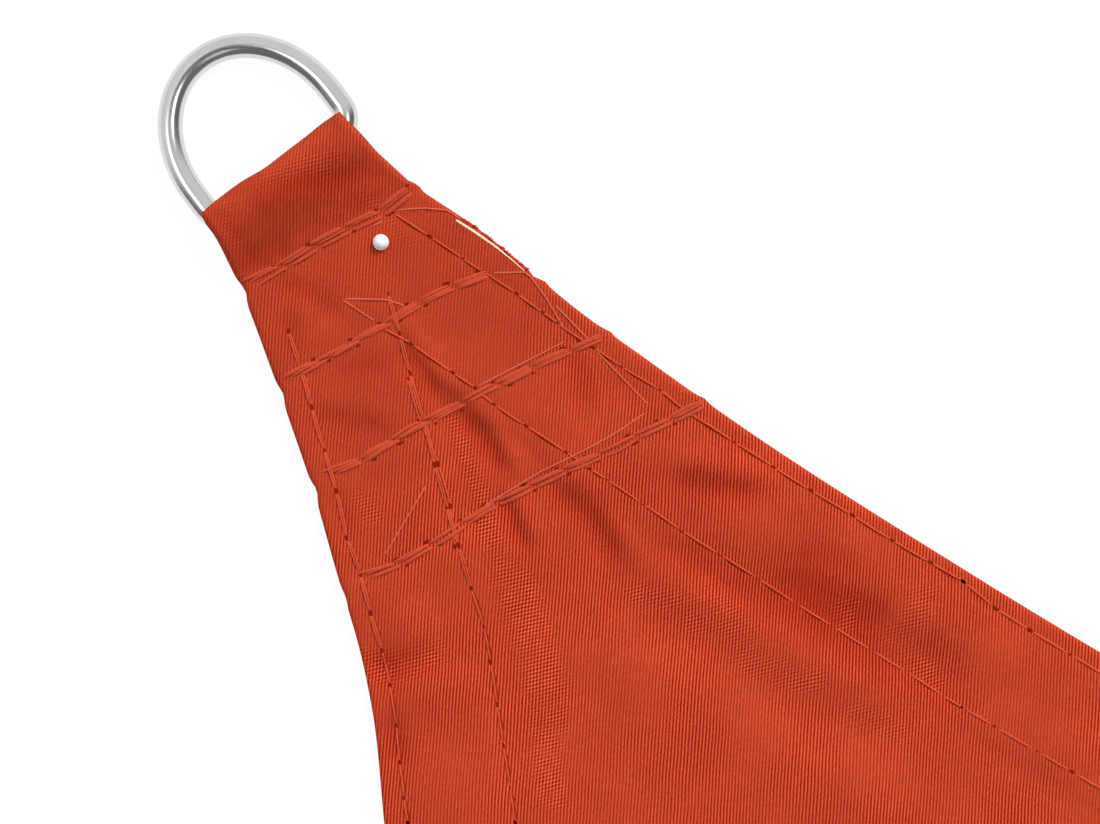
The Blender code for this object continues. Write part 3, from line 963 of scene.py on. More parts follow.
@dataclass(frozen=True)
class RibbedCloth:
    """Terracotta-red ribbed cloth. The scales of its noises are per metre."""

    # The two colours of the ribs: a painted highlight on the crests and painted shade in the furrows
    # between them.
    crest_highlight: tuple = (0.64, 0.094, 0.037)
    groove_shade: tuple = (0.29, 0.004, 0.0004)
    # How far the painted shade in the folds' hollows pulls the colour towards the furrows' shade colour.
    hollow_shade_tone: float = 0.2
    rib_pitch: float = 0.66 * MM
    yarn_pitch: float = 0.78 * MM
    rib_heading: float = 39.0
    yarn_lean: float = 0.34
    wander: float = 1.3 * MM
    wander_scale: float = 38.0
    grain_scale: float = 1500.0
    grain_shift: float = 0.25
    cross_contrast: float = 1.05
    cross_gleam: float = 0.4
    break_scale: float = 420.0
    break_range: tuple = (0.25, 1.5)
    fade_scale: float = 95.0
    fade_range: tuple = (0.35, 1.3)
    cloud_scale: float = 60.0
    cloud_range: tuple = (0.5, 1.3)
    speck_range: tuple = (0.93, 1.07)
    corner_shade_tone: float = 0.90
    tone_run: tuple = (0.45, 0.9)
    corner_blotch: float = 0.45
    body_blotch: float = 0.26
    blotch_run: tuple = (0.45, 1.0)
    blotch_scale: float = 85.0
    relief: float = 0.11 * MM
    rib_height: float = 1.2
    relief_strength: float = 0.6
    pucker: float = 0.9 * MM
    pucker_scale: float = 75.0
    roughness: float = 0.7
    specular: float = 0.06

    def material(self) -> bpy.types.Material:
        """The cloth's material.

        Returns:
            The material.
        """
        w = Wiring("ribbed_cloth")
        place = w.place()
        clear = w.attribute("clearness")
        turned = w.add("ShaderNodeMapping")
        w.feed(turned.inputs["Vector"], place)
        turned.inputs["Rotation"].default_value = (0, 0, math.radians(self.rib_heading))
        grain = w.noise(turned.outputs[0], self.grain_scale, 2)
        rib, yarn = self.threads(w, place, turned.outputs[0], grain)
        crossed = w.math("MULTIPLY_ADD", w.math("ADD", rib, yarn), self.cross_contrast,
                         0.5 - self.cross_contrast)
        patch = self.patch(w, place)
        woven = w.math("ADD", w.math("MULTIPLY", rib, w.math("SUBTRACT", 1.0, patch)),
                       w.math("MULTIPLY", crossed, patch))
        share = self.crest_share(w, place, woven, clear)
        gleam = w.math("MULTIPLY", patch, w.math("SUBTRACT", crossed, 0.5))
        gleam = w.math("MULTIPLY_ADD", gleam, self.cross_gleam, 1.0)
        # Painted shade of the corner and patches at random, with the painted sheen of the cross threads.
        cloud = w.math("MULTIPLY", self.tone(w, place, clear), gleam)
        speck = w.spread(grain, *self.speck_range, NOISE_MIDDLE)
        # Painted light of the ribs: the crests' highlight colour blended with the furrows' shade colour.
        rib_light_and_shade = w.blend(share, self.groove_shade, self.crest_highlight)
        w.feed(w.shader.inputs["Base Color"], w.tint(rib_light_and_shade, w.math("MULTIPLY", speck, cloud)))
        w.surface(self.roughness, self.specular)
        low = w.math("MULTIPLY", w.noise(place, self.pucker_scale, 4), self.pucker / self.relief)
        height = w.math("ADD", w.math("MULTIPLY", share, self.rib_height), low)
        w.bump(height, self.relief, self.relief_strength)
        return w.material

    def threads(self, w: Wiring, place: bpy.types.NodeSocket, turned: bpy.types.NodeSocket,
                grain: bpy.types.NodeSocket) -> tuple[bpy.types.NodeSocket, bpy.types.NodeSocket]:
        """Waves of the ribs and of the yarns across them, which wander a little.

        Args:
            w: the material's wiring.
            place: the places on the cloth.
            turned: the same, turned to the ribs' heading.
            grain: a fine noise that roughens the ribs.

        Returns:
            The wave of the ribs and the wave of the yarns.
        """
        drift = w.add("ShaderNodeVectorMath", operation="MULTIPLY_ADD")
        w.feed(drift.inputs[0], w.noise(place, self.wander_scale, 2, "Color"))
        drift.inputs[1].default_value = (self.wander,) * 3
        w.feed(drift.inputs[2], turned)
        parts = w.add("ShaderNodeSeparateXYZ")
        w.feed(parts.inputs[0], drift.outputs[0])
        shift = w.math("MULTIPLY", grain, self.grain_shift * self.rib_pitch)
        sideways = w.math("ADD", parts.outputs[0], shift)
        leaning = w.math("SUBTRACT", parts.outputs[1], w.math("MULTIPLY", sideways, self.yarn_lean))
        return self.wave(w, sideways, self.rib_pitch), self.wave(w, leaning, self.yarn_pitch)

    def patch(self, w: Wiring, place: bpy.types.NodeSocket) -> bpy.types.NodeSocket:
        """How far the cross threads show, broken up by two noises.

        Args:
            w: the material's wiring.
            place: the places on the cloth.

        Returns:
            The share, from 0 to 1.
        """
        breaking = w.spread(w.noise(place, self.break_scale, 2), *self.break_range, NOISE_MIDDLE)
        fading = w.spread(w.noise(place, self.fade_scale, 2), *self.fade_range, NOISE_CORE)
        broken = w.math("MULTIPLY", w.attribute("crossweave"), breaking)
        return w.limited(w.math("MULTIPLY", broken, fading))

    def crest_share(self, w: Wiring, place: bpy.types.NodeSocket, woven: bpy.types.NodeSocket,
                    clear: bpy.types.NodeSocket) -> bpy.types.NodeSocket:
        """How much of the crests' painted highlight shows against the furrows' painted shade; less in the
        hollows of the folds, to paint shade there.

        Args:
            w: the material's wiring.
            place: the places on the cloth.
            woven: the waves of the weave.
            clear: how clearly the ribs show.

        Returns:
            The share, from 0 to 1.
        """
        cloudy = w.spread(w.noise(place, self.cloud_scale, 3), *self.cloud_range, NOISE_CORE)
        clearness = w.math("MULTIPLY", clear, cloudy)
        share = w.math("MULTIPLY_ADD", w.math("SUBTRACT", woven, 0.5), clearness, 0.5)
        # Painted shade in the narrow hollows of the folds.
        dark = w.math("MULTIPLY", w.attribute("hollow"), self.hollow_shade_tone)
        return w.limited(w.math("SUBTRACT", share, dark))

    def tone(self, w: Wiring, place: bpy.types.NodeSocket,
             clear: bpy.types.NodeSocket) -> bpy.types.NodeSocket:
        """Painted shade that darkens the layered corner, and darker and lighter patches at random, stronger
        in the corner.

        Args:
            w: the material's wiring.
            place: the places on the cloth.
            clear: how clearly the ribs show.

        Returns:
            A factor for the colour.
        """
        # Painted shade: the corner, where the ribs show faintly, is darkened.
        corner_shade = w.spread(clear, self.corner_shade_tone, 1.0, self.tone_run)
        strength = w.spread(clear, self.corner_blotch, self.body_blotch, self.blotch_run)
        uneven = w.math("SUBTRACT", w.noise(place, self.blotch_scale, 3), 0.5)
        blotch = w.math("MULTIPLY", uneven, strength)
        return w.math("MULTIPLY", corner_shade, w.math("ADD", 1.0, blotch))

    @staticmethod
    def wave(w: Wiring, place: bpy.types.NodeSocket, pitch: float) -> bpy.types.NodeSocket:
        """A wave from 0 to 1 at a pitch."""
        return w.spread(w.math("SINE", w.math("MULTIPLY", place, 2 * math.pi / pitch)), 0, 1, (-1, 1))


@dataclass(frozen=True)
class SewingThread:
    """Polyester thread in the cloth's colour, a little lighter."""

    name: str = "sewing_thread"
    colour: tuple = (0.61, 0.076, 0.031)
    twist: float = 0.35 * MM
    roughness: float = 0.6
    specular: float = 0.12
    fibre_tone: tuple = (0.88, 1.1)
    fibre_depth: float = 0.06 * MM
    fibre_strength: float = 0.5

    def material(self) -> bpy.types.Material:
        """The thread's material.

        Returns:
            The material.
        """
        w = Wiring(self.name)
        fibres = w.noise(w.place(), 1 / self.twist, 3)
        shade = w.spread(fibres, *self.fibre_tone, NOISE_MIDDLE)
        w.feed(w.shader.inputs["Base Color"], w.tint(self.colour, shade))
        w.surface(self.roughness, self.specular)
        w.bump(fibres, self.fibre_depth, self.fibre_strength)
        return w.material


@dataclass(frozen=True)
class PolishedSteel:
    """Polished round steel wire with fine drawing marks."""

    colour: tuple = (0.71, 0.705, 0.695)
    roughness: float = 0.15
    smudge_scale: float = 120.0
    smudge_tone: tuple = (0.94, 1.03)
    smudge_roughness: tuple = (0.7, 1.5)
    mark_scale: float = 900.0
    mark_depth: float = 0.01 * MM
    mark_strength: float = 0.15

    def material(self) -> bpy.types.Material:
        """The steel's material.

        Returns:
            The material.
        """
        w = Wiring("polished_steel")
        place = w.place()
        marks = w.noise(place, self.mark_scale, 2)
        smudge = w.noise(place, self.smudge_scale, 3)
        tone = w.spread(smudge, *self.smudge_tone, NOISE_MIDDLE)
        w.feed(w.shader.inputs["Base Color"], w.tint(self.colour, tone))
        w.shader.inputs["Metallic"].default_value = 1.0
        low, high = (self.roughness * share for share in self.smudge_roughness)
        w.feed(w.shader.inputs["Roughness"], w.spread(smudge, low, high, NOISE_MIDDLE))
        w.bump(marks, self.mark_depth, self.mark_strength)
        return w.material


@dataclass(frozen=True)
class PlainFinish:
    """One colour with a slight mottle, for small parts."""

    name: str
    colour: tuple
    roughness: float
    mottle: float = 0.05
    specular: float = 0.5
    grain_scale: float = 2000.0
    grain_depth: float = 0.02 * MM
    grain_strength: float = 0.2

    def material(self) -> bpy.types.Material:
        """The small part's material.

        Returns:
            The material.
        """
        w = Wiring(self.name)
        grain = w.noise(w.place(), self.grain_scale, 2)
        shade = w.spread(grain, 1 - self.mottle, 1 + self.mottle, NOISE_MIDDLE)
        w.feed(w.shader.inputs["Base Color"], w.tint(self.colour, shade))
        w.surface(self.roughness, self.specular)
        w.bump(grain, self.grain_depth, self.grain_strength)
        return w.material


BAND_FINISH = SewingThread("band_thread", (0.51, 0.060, 0.024), 0.5 * MM, 0.55, 0.15)
LOOSE_FINISH = SewingThread("loose_thread", (0.64, 0.105, 0.050), 0.3 * MM, 0.5, 0.25)
# Colour of the painted shadow beside the front corner's stitches.
STITCH_SHADOW_FINISH = SewingThread("stitch_shadow", (0.34, 0.027, 0.008), 0.5 * MM, 0.9, 0.0)
WHITE_STUD = PlainFinish("white_stud", (0.86, 0.88, 0.92), 0.25, 0.01)
# Colour of the painted shade in the needle holes.
NEEDLE_HOLE_SHADE = PlainFinish("needle_hole_shade", (0.20, 0.013, 0.003), 0.9, 0.2, 0.0)
# Colour of the painted highlight along the front corner's cut edge.
CUT_EDGE_HIGHLIGHT = PlainFinish("cut_edge_highlight", (0.95, 0.68, 0.50), 0.8, 0.12, 0.1)
RAW_EDGE = PlainFinish("raw_edge", (0.46, 0.045, 0.015), 0.85, 0.25, 0.1)


# ---- making and placing pieces

def finish_mesh(bm: bmesh.types.BMesh, name: str) -> bpy.types.Object:
    """Turn a bmesh into a smooth-shaded object in the scene.

    Args:
        bm: the bmesh, which is freed.
        name: the object's name.

    Returns:
        The object.
    """
    for face in bm.faces:
        face.smooth = True
    mesh = bpy.data.meshes.new(name)
    bm.to_mesh(mesh)
    bm.free()
    made = bpy.data.objects.new(name, mesh)
    bpy.context.scene.collection.objects.link(made)
    return made


def dress(made: bpy.types.Object, material: bpy.types.Material) -> bpy.types.Object:
    """Give a piece its material and body, and report it.

    Args:
        made: the piece.
        material: its material.

    Returns:
        The same piece.
    """
    made.data.materials.clear()
    made.data.materials.append(material)
    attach(made, BODY)
    log.info("%s: %d faces", made.name, len(made.data.polygons))
    return made


def tubes(name: str, runs: Sequence[tuple[Values, Values]], profile: tuple[float, float],
          sides: int) -> bpy.types.Object:
    """Tubes along many short lines, as one mesh.

    Args:
        name: the object's name.
        runs: for each tube, its points in the frame and its width at each, as a share.
        profile: half width and half height of the section.
        sides: corners of the section.

    Returns:
        The object, with its place in its mesh.
    """
    section = bpy.data.curves.new(name + "_section", "CURVE")
    ring = section.splines.new("POLY")
    ring.points.add(sides - 1)
    for i, point in enumerate(ring.points):
        turn = 2 * math.pi * i / sides
        point.co = (profile[0] * math.cos(turn), profile[1] * math.sin(turn), 0, 1)
    ring.use_cyclic_u = True
    section_object = bpy.data.objects.new(section.name, section)
    curve = bpy.data.curves.new(name, "CURVE")
    curve.dimensions = "3D"
    curve.twist_mode = "Z_UP"
    curve.bevel_mode = "OBJECT"
    curve.bevel_object = section_object
    curve.use_fill_caps = True
    for places, widths in runs:
        spline = curve.splines.new("POLY")
        spline.points.add(len(places) - 1)
        spline.points.foreach_set("co", np.column_stack((places, np.ones(len(places)))).ravel())
        spline.points.foreach_set("radius", np.ascontiguousarray(widths, dtype=float))
    guide = bpy.data.objects.new(name, curve)
    for part in (section_object, guide):
        bpy.context.scene.collection.objects.link(part)
    graph = bpy.context.evaluated_depsgraph_get()
    mesh = bpy.data.meshes.new_from_object(guide.evaluated_get(graph))
    for part in (section_object, guide):
        bpy.data.objects.remove(part)
    bm = bmesh.new()
    bm.from_mesh(mesh)
    bpy.data.meshes.remove(mesh)
    bmesh.ops.recalc_face_normals(bm, faces=bm.faces)
    return finish_mesh(bm, name)


# ---- cloth

@dataclass
class SailCloth:
    """The whole cloth as one closed sheet with an open loop round each ring's bar."""

    shape: SailShape
    finish: RibbedCloth = field(default_factory=RibbedCloth)
    loop_angles: tuple = (84, 72, 60, 48, 36, 24, 12)
    loop_reach: float = 2.5 * MM
    row_steps: dict = field(default_factory=lambda: {
        Corner.FRONT: 1.2 * MM, Corner.RIGHT: 3.0 * MM, Corner.LEFT: 3.0 * MM})
    fine_ends: dict = field(default_factory=lambda: {
        Corner.FRONT: 185 * MM, Corner.RIGHT: 150 * MM, Corner.LEFT: 150 * MM})
    growth: float = 1.15
    widest_step: float = 18 * MM
    edge_cells: tuple = (0.0, 0.25 * MM, 0.7 * MM)
    edge_rounding: tuple = (0.36, 0.12, 0.02)
    front_clearness: float = 0.52
    plain_clearness: float = 0.7
    clear_run: tuple = (38 * MM, 92 * MM)
    weave_fade: tuple = (0.3, 1.4)
    outer_cells: int = 7
    outer_end: float = 6.0 * MM
    hem_cells: int = 9
    step_cells: int = 3
    middle_cells: int = 22
    hem_share: float = 0.62
    step_share: float = 0.1
    axis_lag: float = 1.6
    channel_radius: float = 2.88 * MM
    channel_tip: float = 11.0 * MM
    channel_tip_height: float = 1.5 * MM
    channel_sides: int = 28
    weld: float = 0.02 * MM
    flat: tuple = (2.02, 1.75)
    area: float = 1.54

    def row_places(self, corner: Corner) -> list[float]:
        """Where the rows of a corner cross its edges: close near the ring, then wider.

        Args:
            corner: which corner.

        Returns:
            The places along the corner's axis.
        """
        end, step = self.fine_ends[corner], self.row_steps[corner]
        places = list(np.arange(0.0, end, step))
        fine = places[-1]
        while places[-1] < self.shape.edge_middle:
            step = min(step * self.growth, self.widest_step)
            places.append(places[-1] + step)
        stretch = (self.shape.edge_middle - fine) / (places[-1] - fine)
        return [p if p <= fine else fine + (p - fine) * stretch for p in places]

    def insets(self, length: float) -> Values:
        """Distances from the edge to the axis of one half of a row.

        Args:
            length: how far the axis is from the edge.

        Returns:
            The distances, closer together at the edge and over the hem.
        """
        lean = math.cos(self.shape.edge_lean)
        hem = min(self.shape.hem_width / lean, self.hem_share * length)
        step = min(self.shape.hem_step / lean, self.step_share * length)
        outer = min(self.outer_end / lean, hem / 2)
        inner = hem + step
        return np.concatenate((
            self.edge_cells,
            np.linspace(self.edge_cells[-1], outer, self.outer_cells + 1)[1:],
            np.linspace(outer, hem, self.hem_cells + 1)[1:],
            np.linspace(hem, inner, self.step_cells + 1)[1:],
            np.linspace(inner, length, self.middle_cells + 1)[1:],
        ))

    def row(self, corner: Corner, place: float) -> Values:
        """Places of one row from the left edge to the right edge.

        Args:
            corner: which corner.
            place: where the row crosses the edges, along the corner's axis.

        Returns:
            The (along, across) places.
        """
        shape = self.shape
        lag = max(0.0, (place - self.fine_ends[corner]) / (shape.edge_middle - self.fine_ends[corner]))
        axis = np.array((place + (shape.circumradius - shape.edge_middle) * lag**self.axis_lag, 0.0))
        halves = []
        for side in Side:
            edge = np.array((place, side.value * float(shape.half_width(corner, side, place))))
            length = float(np.linalg.norm(axis - edge))
            shares = self.insets(length)[:, None] / length
            halves.append(edge + (axis - edge) * shares)
        return np.concatenate((halves[0], halves[1][-2::-1]))

    def rows(self, corner: Corner) -> Values:
        """All places of a corner's third of the sail, row by row.

        Args:
            corner: which corner.

        Returns:
            The (along, across) places as rows of columns.
        """
        shape = self.shape
        front = []
        for angle in self.loop_angles:
            turn = math.sin(math.radians(angle))
            row = self.row(corner, -self.loop_reach * turn)
            row[:, 0] = -shape.loop_front(row[:, 1]) * turn
            front.append(row)
        return np.stack(front + [self.row(corner, place) for place in self.row_places(corner)])

    def crossweave(self, corner: Corner, along: Values, across: Values) -> Values:
        """How clearly the cross threads of the weave show.

        Args:
            corner: the corner that the places belong to.
            along: places along its axis.
            across: places across it.

        Returns:
            The strength at each place.
        """
        shown = np.zeros_like(along)
        if corner is Corner.FRONT:
            for route, width, strength in CROSSWEAVE:
                distance, _ = Route.of_mm(route).nearest(along, across)
                fade = smooth(*self.weave_fade, distance / (width * MM))
                shown = np.maximum(shown, strength * (1 - fade))
        return shown

    def clearness(self, corner: Corner, along: Values) -> Values:
        """How clearly the ribs show: faintly where the corner is sewn in layers.

        Args:
            corner: the corner that the places belong to.
            along: places along its axis.

        Returns:
            The clearness at each place.
        """
        faint = self.front_clearness if corner is Corner.FRONT else self.plain_clearness
        start, end = self.clear_run
        return faint + (1 - faint) * smooth(start, end, along)

    def rounding(self, columns: int) -> Values:
        """Share of the thickness taken off above and below, for each column.

        Args:
            columns: how many columns there are.

        Returns:
            The shares.
        """
        share = np.zeros(columns)
        for i, taken in enumerate(self.edge_rounding):
            share[i] = share[columns - 1 - i] = taken
        return share

    def lay_corner(self, bm: bmesh.types.BMesh, corner: Corner, layers: dict) -> None:
        """Lay one corner's third of the sail as a flat grid that keeps its heights.

        Args:
            bm: the cloth's mesh in the making.
            corner: which corner.
            layers: the mesh's layers by name.
        """
        places = self.rows(corner)
        count, columns = places.shape[:2]
        along, across = places[..., 0], places[..., 1]
        low, high = self.shape.heights(corner, along, across)
        taken = self.rounding(columns) * (high - low)
        shown = self.crossweave(corner, along, across)
        clear = self.clearness(corner, along)
        # Strength of the painted shade in the folds' hollows, carried to the material as the hollow
        # attribute.
        hollow = self.shape.hollows(corner, along, across)
        spots = self.shape.in_frame(corner, along, across, np.zeros_like(along))
        middle = 0.5  # the grid is made one metre wide round the origin
        grid = bmesh.ops.create_grid(bm, x_segments=columns - 1, y_segments=count - 1, size=middle)
        for vert in grid["verts"]:
            column = round((vert.co.x + middle) * (columns - 1))
            row = round((vert.co.y + middle) * (count - 1))
            vert[layers["low"]] = low[row, column] + taken[row, column]
            vert[layers["high"]] = high[row, column] - taken[row, column]
            vert[layers["weave"]] = shown[row, column]
            vert[layers["clear"]] = clear[row, column]
            vert[layers["hollow"]] = hollow[row, column]
            vert[layers["column"]] = column + 1
            vert[layers["loop"]] = corner.value + 1 if along[row, column] < self.shape.loop_seam else 0
            vert.co = Vector(spots[row, column])

    def channel_loop(self, bm: bmesh.types.BMesh, corner: Corner, side: Side) -> list[bmesh.types.BMEdge]:
        """One end of a loop's hollow: round at the bar, drawn to a narrow end at the seam.

        Args:
            bm: the cloth's mesh in the making.
            corner: which corner.
            side: which of its two edges.

        Returns:
            The edges of the end.
        """
        centre = Vector((0.0, self.shape.loop_radius))
        tip = Vector((self.channel_tip, self.channel_tip_height)) - centre
        made = bmesh.ops.create_circle(bm, segments=self.channel_sides, radius=self.channel_radius)
        tangent = math.acos(self.channel_radius / tip.length)
        heading = math.atan2(tip.y, tip.x)
        for vert in made["verts"]:
            turn = math.atan2(vert.co.y, vert.co.x)
            off = (turn - heading + math.pi) % (2 * math.pi) - math.pi
            if abs(off) < tangent:
                share = 1 - abs(off) / tangent
                rim = heading + math.copysign(tangent, off)
                touch = Vector((math.cos(rim), math.sin(rim))) * self.channel_radius
                spot = touch.lerp(tip, share) + centre
            else:
                spot = Vector((vert.co.x, vert.co.y)) + centre
            across = side.value * float(self.shape.half_width(corner, side, spot.x))
            vert.co = self.shape.matrix(corner) @ Vector((across, spot.x, spot.y))
        return list({edge for vert in made["verts"] for edge in vert.link_edges})

    def open_loop(self, bm: bmesh.types.BMesh, corner: Corner, layers: dict) -> None:
        """Open a loop at both ends and run a hollow through it.

        Args:
            bm: the cloth's mesh in the making.
            corner: which corner.
            layers: the mesh's layers by name.
        """
        loop, column = layers["loop"], layers["column"]
        last = max(vert[column] for vert in bm.verts)
        ends = []
        for side, edge_column in ((Side.LEFT, 1), (Side.RIGHT, last)):
            walls = [face for face in bm.faces
                     if all(v[column] == edge_column and v[loop] == corner.value + 1 for v in face.verts)]
            bmesh.ops.delete(bm, geom=walls, context="FACES_ONLY")
            rim = [edge for edge in bm.edges if edge.is_boundary]
            hollow = self.channel_loop(bm, corner, side)
            axis = self.shape.matrix(corner).to_3x3() @ Vector((side.value, 0, 0))
            bmesh.ops.triangle_fill(bm, use_beauty=True, use_dissolve=False, edges=rim + hollow,
                                    normal=axis)
            ends.append(hollow)
        bmesh.ops.bridge_loops(bm, edges=ends[0] + ends[1])

    def build(self) -> bpy.types.Object:
        """Build the whole cloth.

        Returns:
            The cloth.
        """
        bm = bmesh.new()
        kinds = bm.verts.layers
        layers = {
            "low": kinds.float.new("low"),
            "high": kinds.float.new("high"),
            "weave": kinds.float.new("crossweave"),
            "clear": kinds.float.new("clearness"),
            "hollow": kinds.float.new("hollow"),
            "column": kinds.int.new("column"),
            "loop": kinds.int.new("loop"),
        }
        for corner in Corner:
            self.lay_corner(bm, corner, layers)
        bmesh.ops.remove_doubles(bm, verts=bm.verts, dist=self.weld)
        for vert in bm.verts:
            vert.co.z = vert[layers["low"]]
        raised = bmesh.ops.extrude_face_region(bm, geom=bm.faces[:], use_keep_orig=True)
        for item in raised["geom"]:
            if isinstance(item, bmesh.types.BMVert):
                item.co.z = item[layers["high"]]
        for corner in Corner:
            self.open_loop(bm, corner, layers)
        bmesh.ops.recalc_face_normals(bm, faces=bm.faces)
        for name in ("low", "high"):
            kinds.float.remove(kinds.float[name])
        for name in ("column", "loop"):
            kinds.int.remove(kinds.int[name])
        cloth = dress(finish_mesh(bm, "sail_cloth_look"), self.finish.material())
        cloth.visible_glossy = False
        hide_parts("sail_cloth")
        return cloth


# ---- rings and stud

@dataclass
class CornerRing:
    """A D-ring bent from round wire, its bar in the loop and its bow resting on the floor."""

    shape: SailShape
    corner: Corner
    finish: PolishedSteel = field(default_factory=PolishedSteel)
    wire: float = 5.0 * MM
    bar_half: float = 12.0 * MM
    bend: float = 5.0 * MM
    leg: float = 3.5 * MM
    bow: float = 20.6 * MM
    turns: dict = field(default_factory=lambda: {Corner.FRONT: 2.3, Corner.RIGHT: -3.0, Corner.LEFT: 3.0})
    bow_points: int = 72
    bend_points: int = 12
    bar_points: int = 4
    sides: int = 24

    def route(self) -> Values:
        """Middle line of the wire, as (across, along, height), with the bow towards negative along.

        Returns:
            The line's places.
        """
        half = self.bar_half + self.bend
        quarter = np.linspace(0, math.pi / 2, self.bend_points + 1)
        corner = np.stack((self.bar_half + self.bend * np.sin(quarter),
                           self.bend * (np.cos(quarter) - 1)), axis=-1)
        turn = np.linspace(0, math.pi, self.bow_points + 1)
        bow = np.stack((half * np.cos(turn), -self.bend - self.leg - self.bow * np.sin(turn)), axis=-1)
        bar = np.stack((np.linspace(-self.bar_half, self.bar_half, self.bar_points + 1)[1:-1],
                        np.zeros(self.bar_points - 1)), axis=-1)
        flat = np.concatenate((corner, bow, corner[::-1] * (-1, 1), bar))
        return np.column_stack((flat, np.zeros(len(flat))))

    def matrix(self) -> Matrix:
        """Place of the ring in the frame.

        Returns:
            The matrix from the wire's own places to the frame.
        """
        reach = self.bend + self.leg + self.bow
        tilt = math.asin((self.shape.loop_radius - self.wire / 2) / reach)
        lift = Matrix.Translation((0, 0, self.shape.loop_radius))
        turn = Matrix.Rotation(math.radians(self.turns[self.corner]), 4, "Z")
        return self.shape.matrix(self.corner) @ lift @ turn @ Matrix.Rotation(tilt, 4, "X")

    def build(self) -> bpy.types.Object:
        """Sweep the wire's round section along its route.

        Returns:
            The ring.
        """
        name = "ring_" + self.corner.name.lower()
        route = [Vector(point) for point in self.route()]
        bm = bmesh.new()
        rims = []
        for i, spot in enumerate(route):
            run = (route[(i + 1) % len(route)] - route[i - 1]).normalized()
            turn = run.to_track_quat("Z", "X").to_matrix().to_4x4()
            rim = bmesh.ops.create_circle(bm, segments=self.sides, radius=self.wire / 2,
                                          matrix=Matrix.Translation(spot) @ turn)
            rims.append(list({edge for vert in rim["verts"] for edge in vert.link_edges}))
        for rim, following in zip(rims, rims[1:] + rims[:1]):
            bmesh.ops.bridge_loops(bm, edges=rim + following)
        bmesh.ops.recalc_face_normals(bm, faces=bm.faces)
        bmesh.ops.transform(bm, matrix=self.matrix(), verts=bm.verts)
        ring = dress(finish_mesh(bm, name + "_look"), self.finish.material())
        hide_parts(name)
        return ring


@dataclass
class CornerStud:
    """The small white domed stud on the front corner."""

    shape: SailShape
    finish: PlainFinish = WHITE_STUD
    along: float = 21.5 * MM
    across: float = -7.6 * MM
    radius: float = 1.6 * MM
    segments: tuple = (40, 24)
    foot: float = 0.35
    sink: float = 0.1 * MM

    def build(self) -> bpy.types.Object:
        """Slice a ball into a dome and set it on the cloth.

        Returns:
            The stud.
        """
        bm = bmesh.new()
        bmesh.ops.create_uvsphere(bm, u_segments=self.segments[0], v_segments=self.segments[1],
                                  radius=self.radius)
        cut = bmesh.ops.bisect_plane(bm, geom=bm.verts[:] + bm.edges[:] + bm.faces[:],
                                     plane_co=(0, 0, -self.foot * self.radius), plane_no=(0, 0, -1),
                                     clear_outer=True)
        rim = [item for item in cut["geom_cut"] if isinstance(item, bmesh.types.BMEdge)]
        bmesh.ops.contextual_create(bm, geom=rim)
        bmesh.ops.recalc_face_normals(bm, faces=bm.faces)
        seat = self.shape.top(Corner.FRONT, np.array(self.along), np.array(self.across))
        height = float(seat) - self.sink + self.foot * self.radius
        place = self.shape.matrix(Corner.FRONT) @ Matrix.Translation((self.across, self.along, height))
        bmesh.ops.transform(bm, matrix=place, verts=bm.verts)
        stud = dress(finish_mesh(bm, "corner_stud_look"), self.finish.material())
        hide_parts("corner_stud")
        return stud


# ---- sewing

@dataclass(frozen=True)
class Thread:
    """How one kind of thread lies on the cloth."""

    half_width: float
    half_height: float
    points: int
    sides: int
    dip: float
    bow: float = 0.0
    end_width: float = 0.75
    unevenness: float = 0.12
    arch_power: float = 0.4
    rise: float = 0.9

    def arch(self, share: Values) -> Values:
        """How far the thread is up over the cloth, from 0 at its ends to 1."""
        return np.sin(math.pi * share) ** self.arch_power

    def lift(self, arch: Values) -> Values:
        """Height of the thread's middle over the cloth, dipping in at its ends."""
        return self.half_height * self.rise * arch - self.dip * (1 - arch)


HEM_THREAD = Thread(0.24 * MM, 0.20 * MM, 5, 6, 0.32 * MM, 0.05 * MM)
CORNER_THREAD = Thread(0.20 * MM, 0.22 * MM, 9, 8, 0.35 * MM, 0.07 * MM)
BAND_THREAD = Thread(0.43 * MM, 0.24 * MM, 9, 8, 0.22 * MM, 0.13 * MM, 0.35, unevenness=0.28)
LOOSE_THREAD = Thread(0.17 * MM, 0.15 * MM, 14, 6, 0.30 * MM, arch_power=0.3, rise=1.0)
# A flat dark strip: the painted shadow beside a stitch.
STITCH_SHADOW = Thread(0.15 * MM, 0.05 * MM, 9, 6, 0.05 * MM, 0.02 * MM, 0.3)
SINGLE = (0.0,)
DOUBLE = (-0.23 * MM, 0.23 * MM)  # how far the strands of one stitch lie from its middle


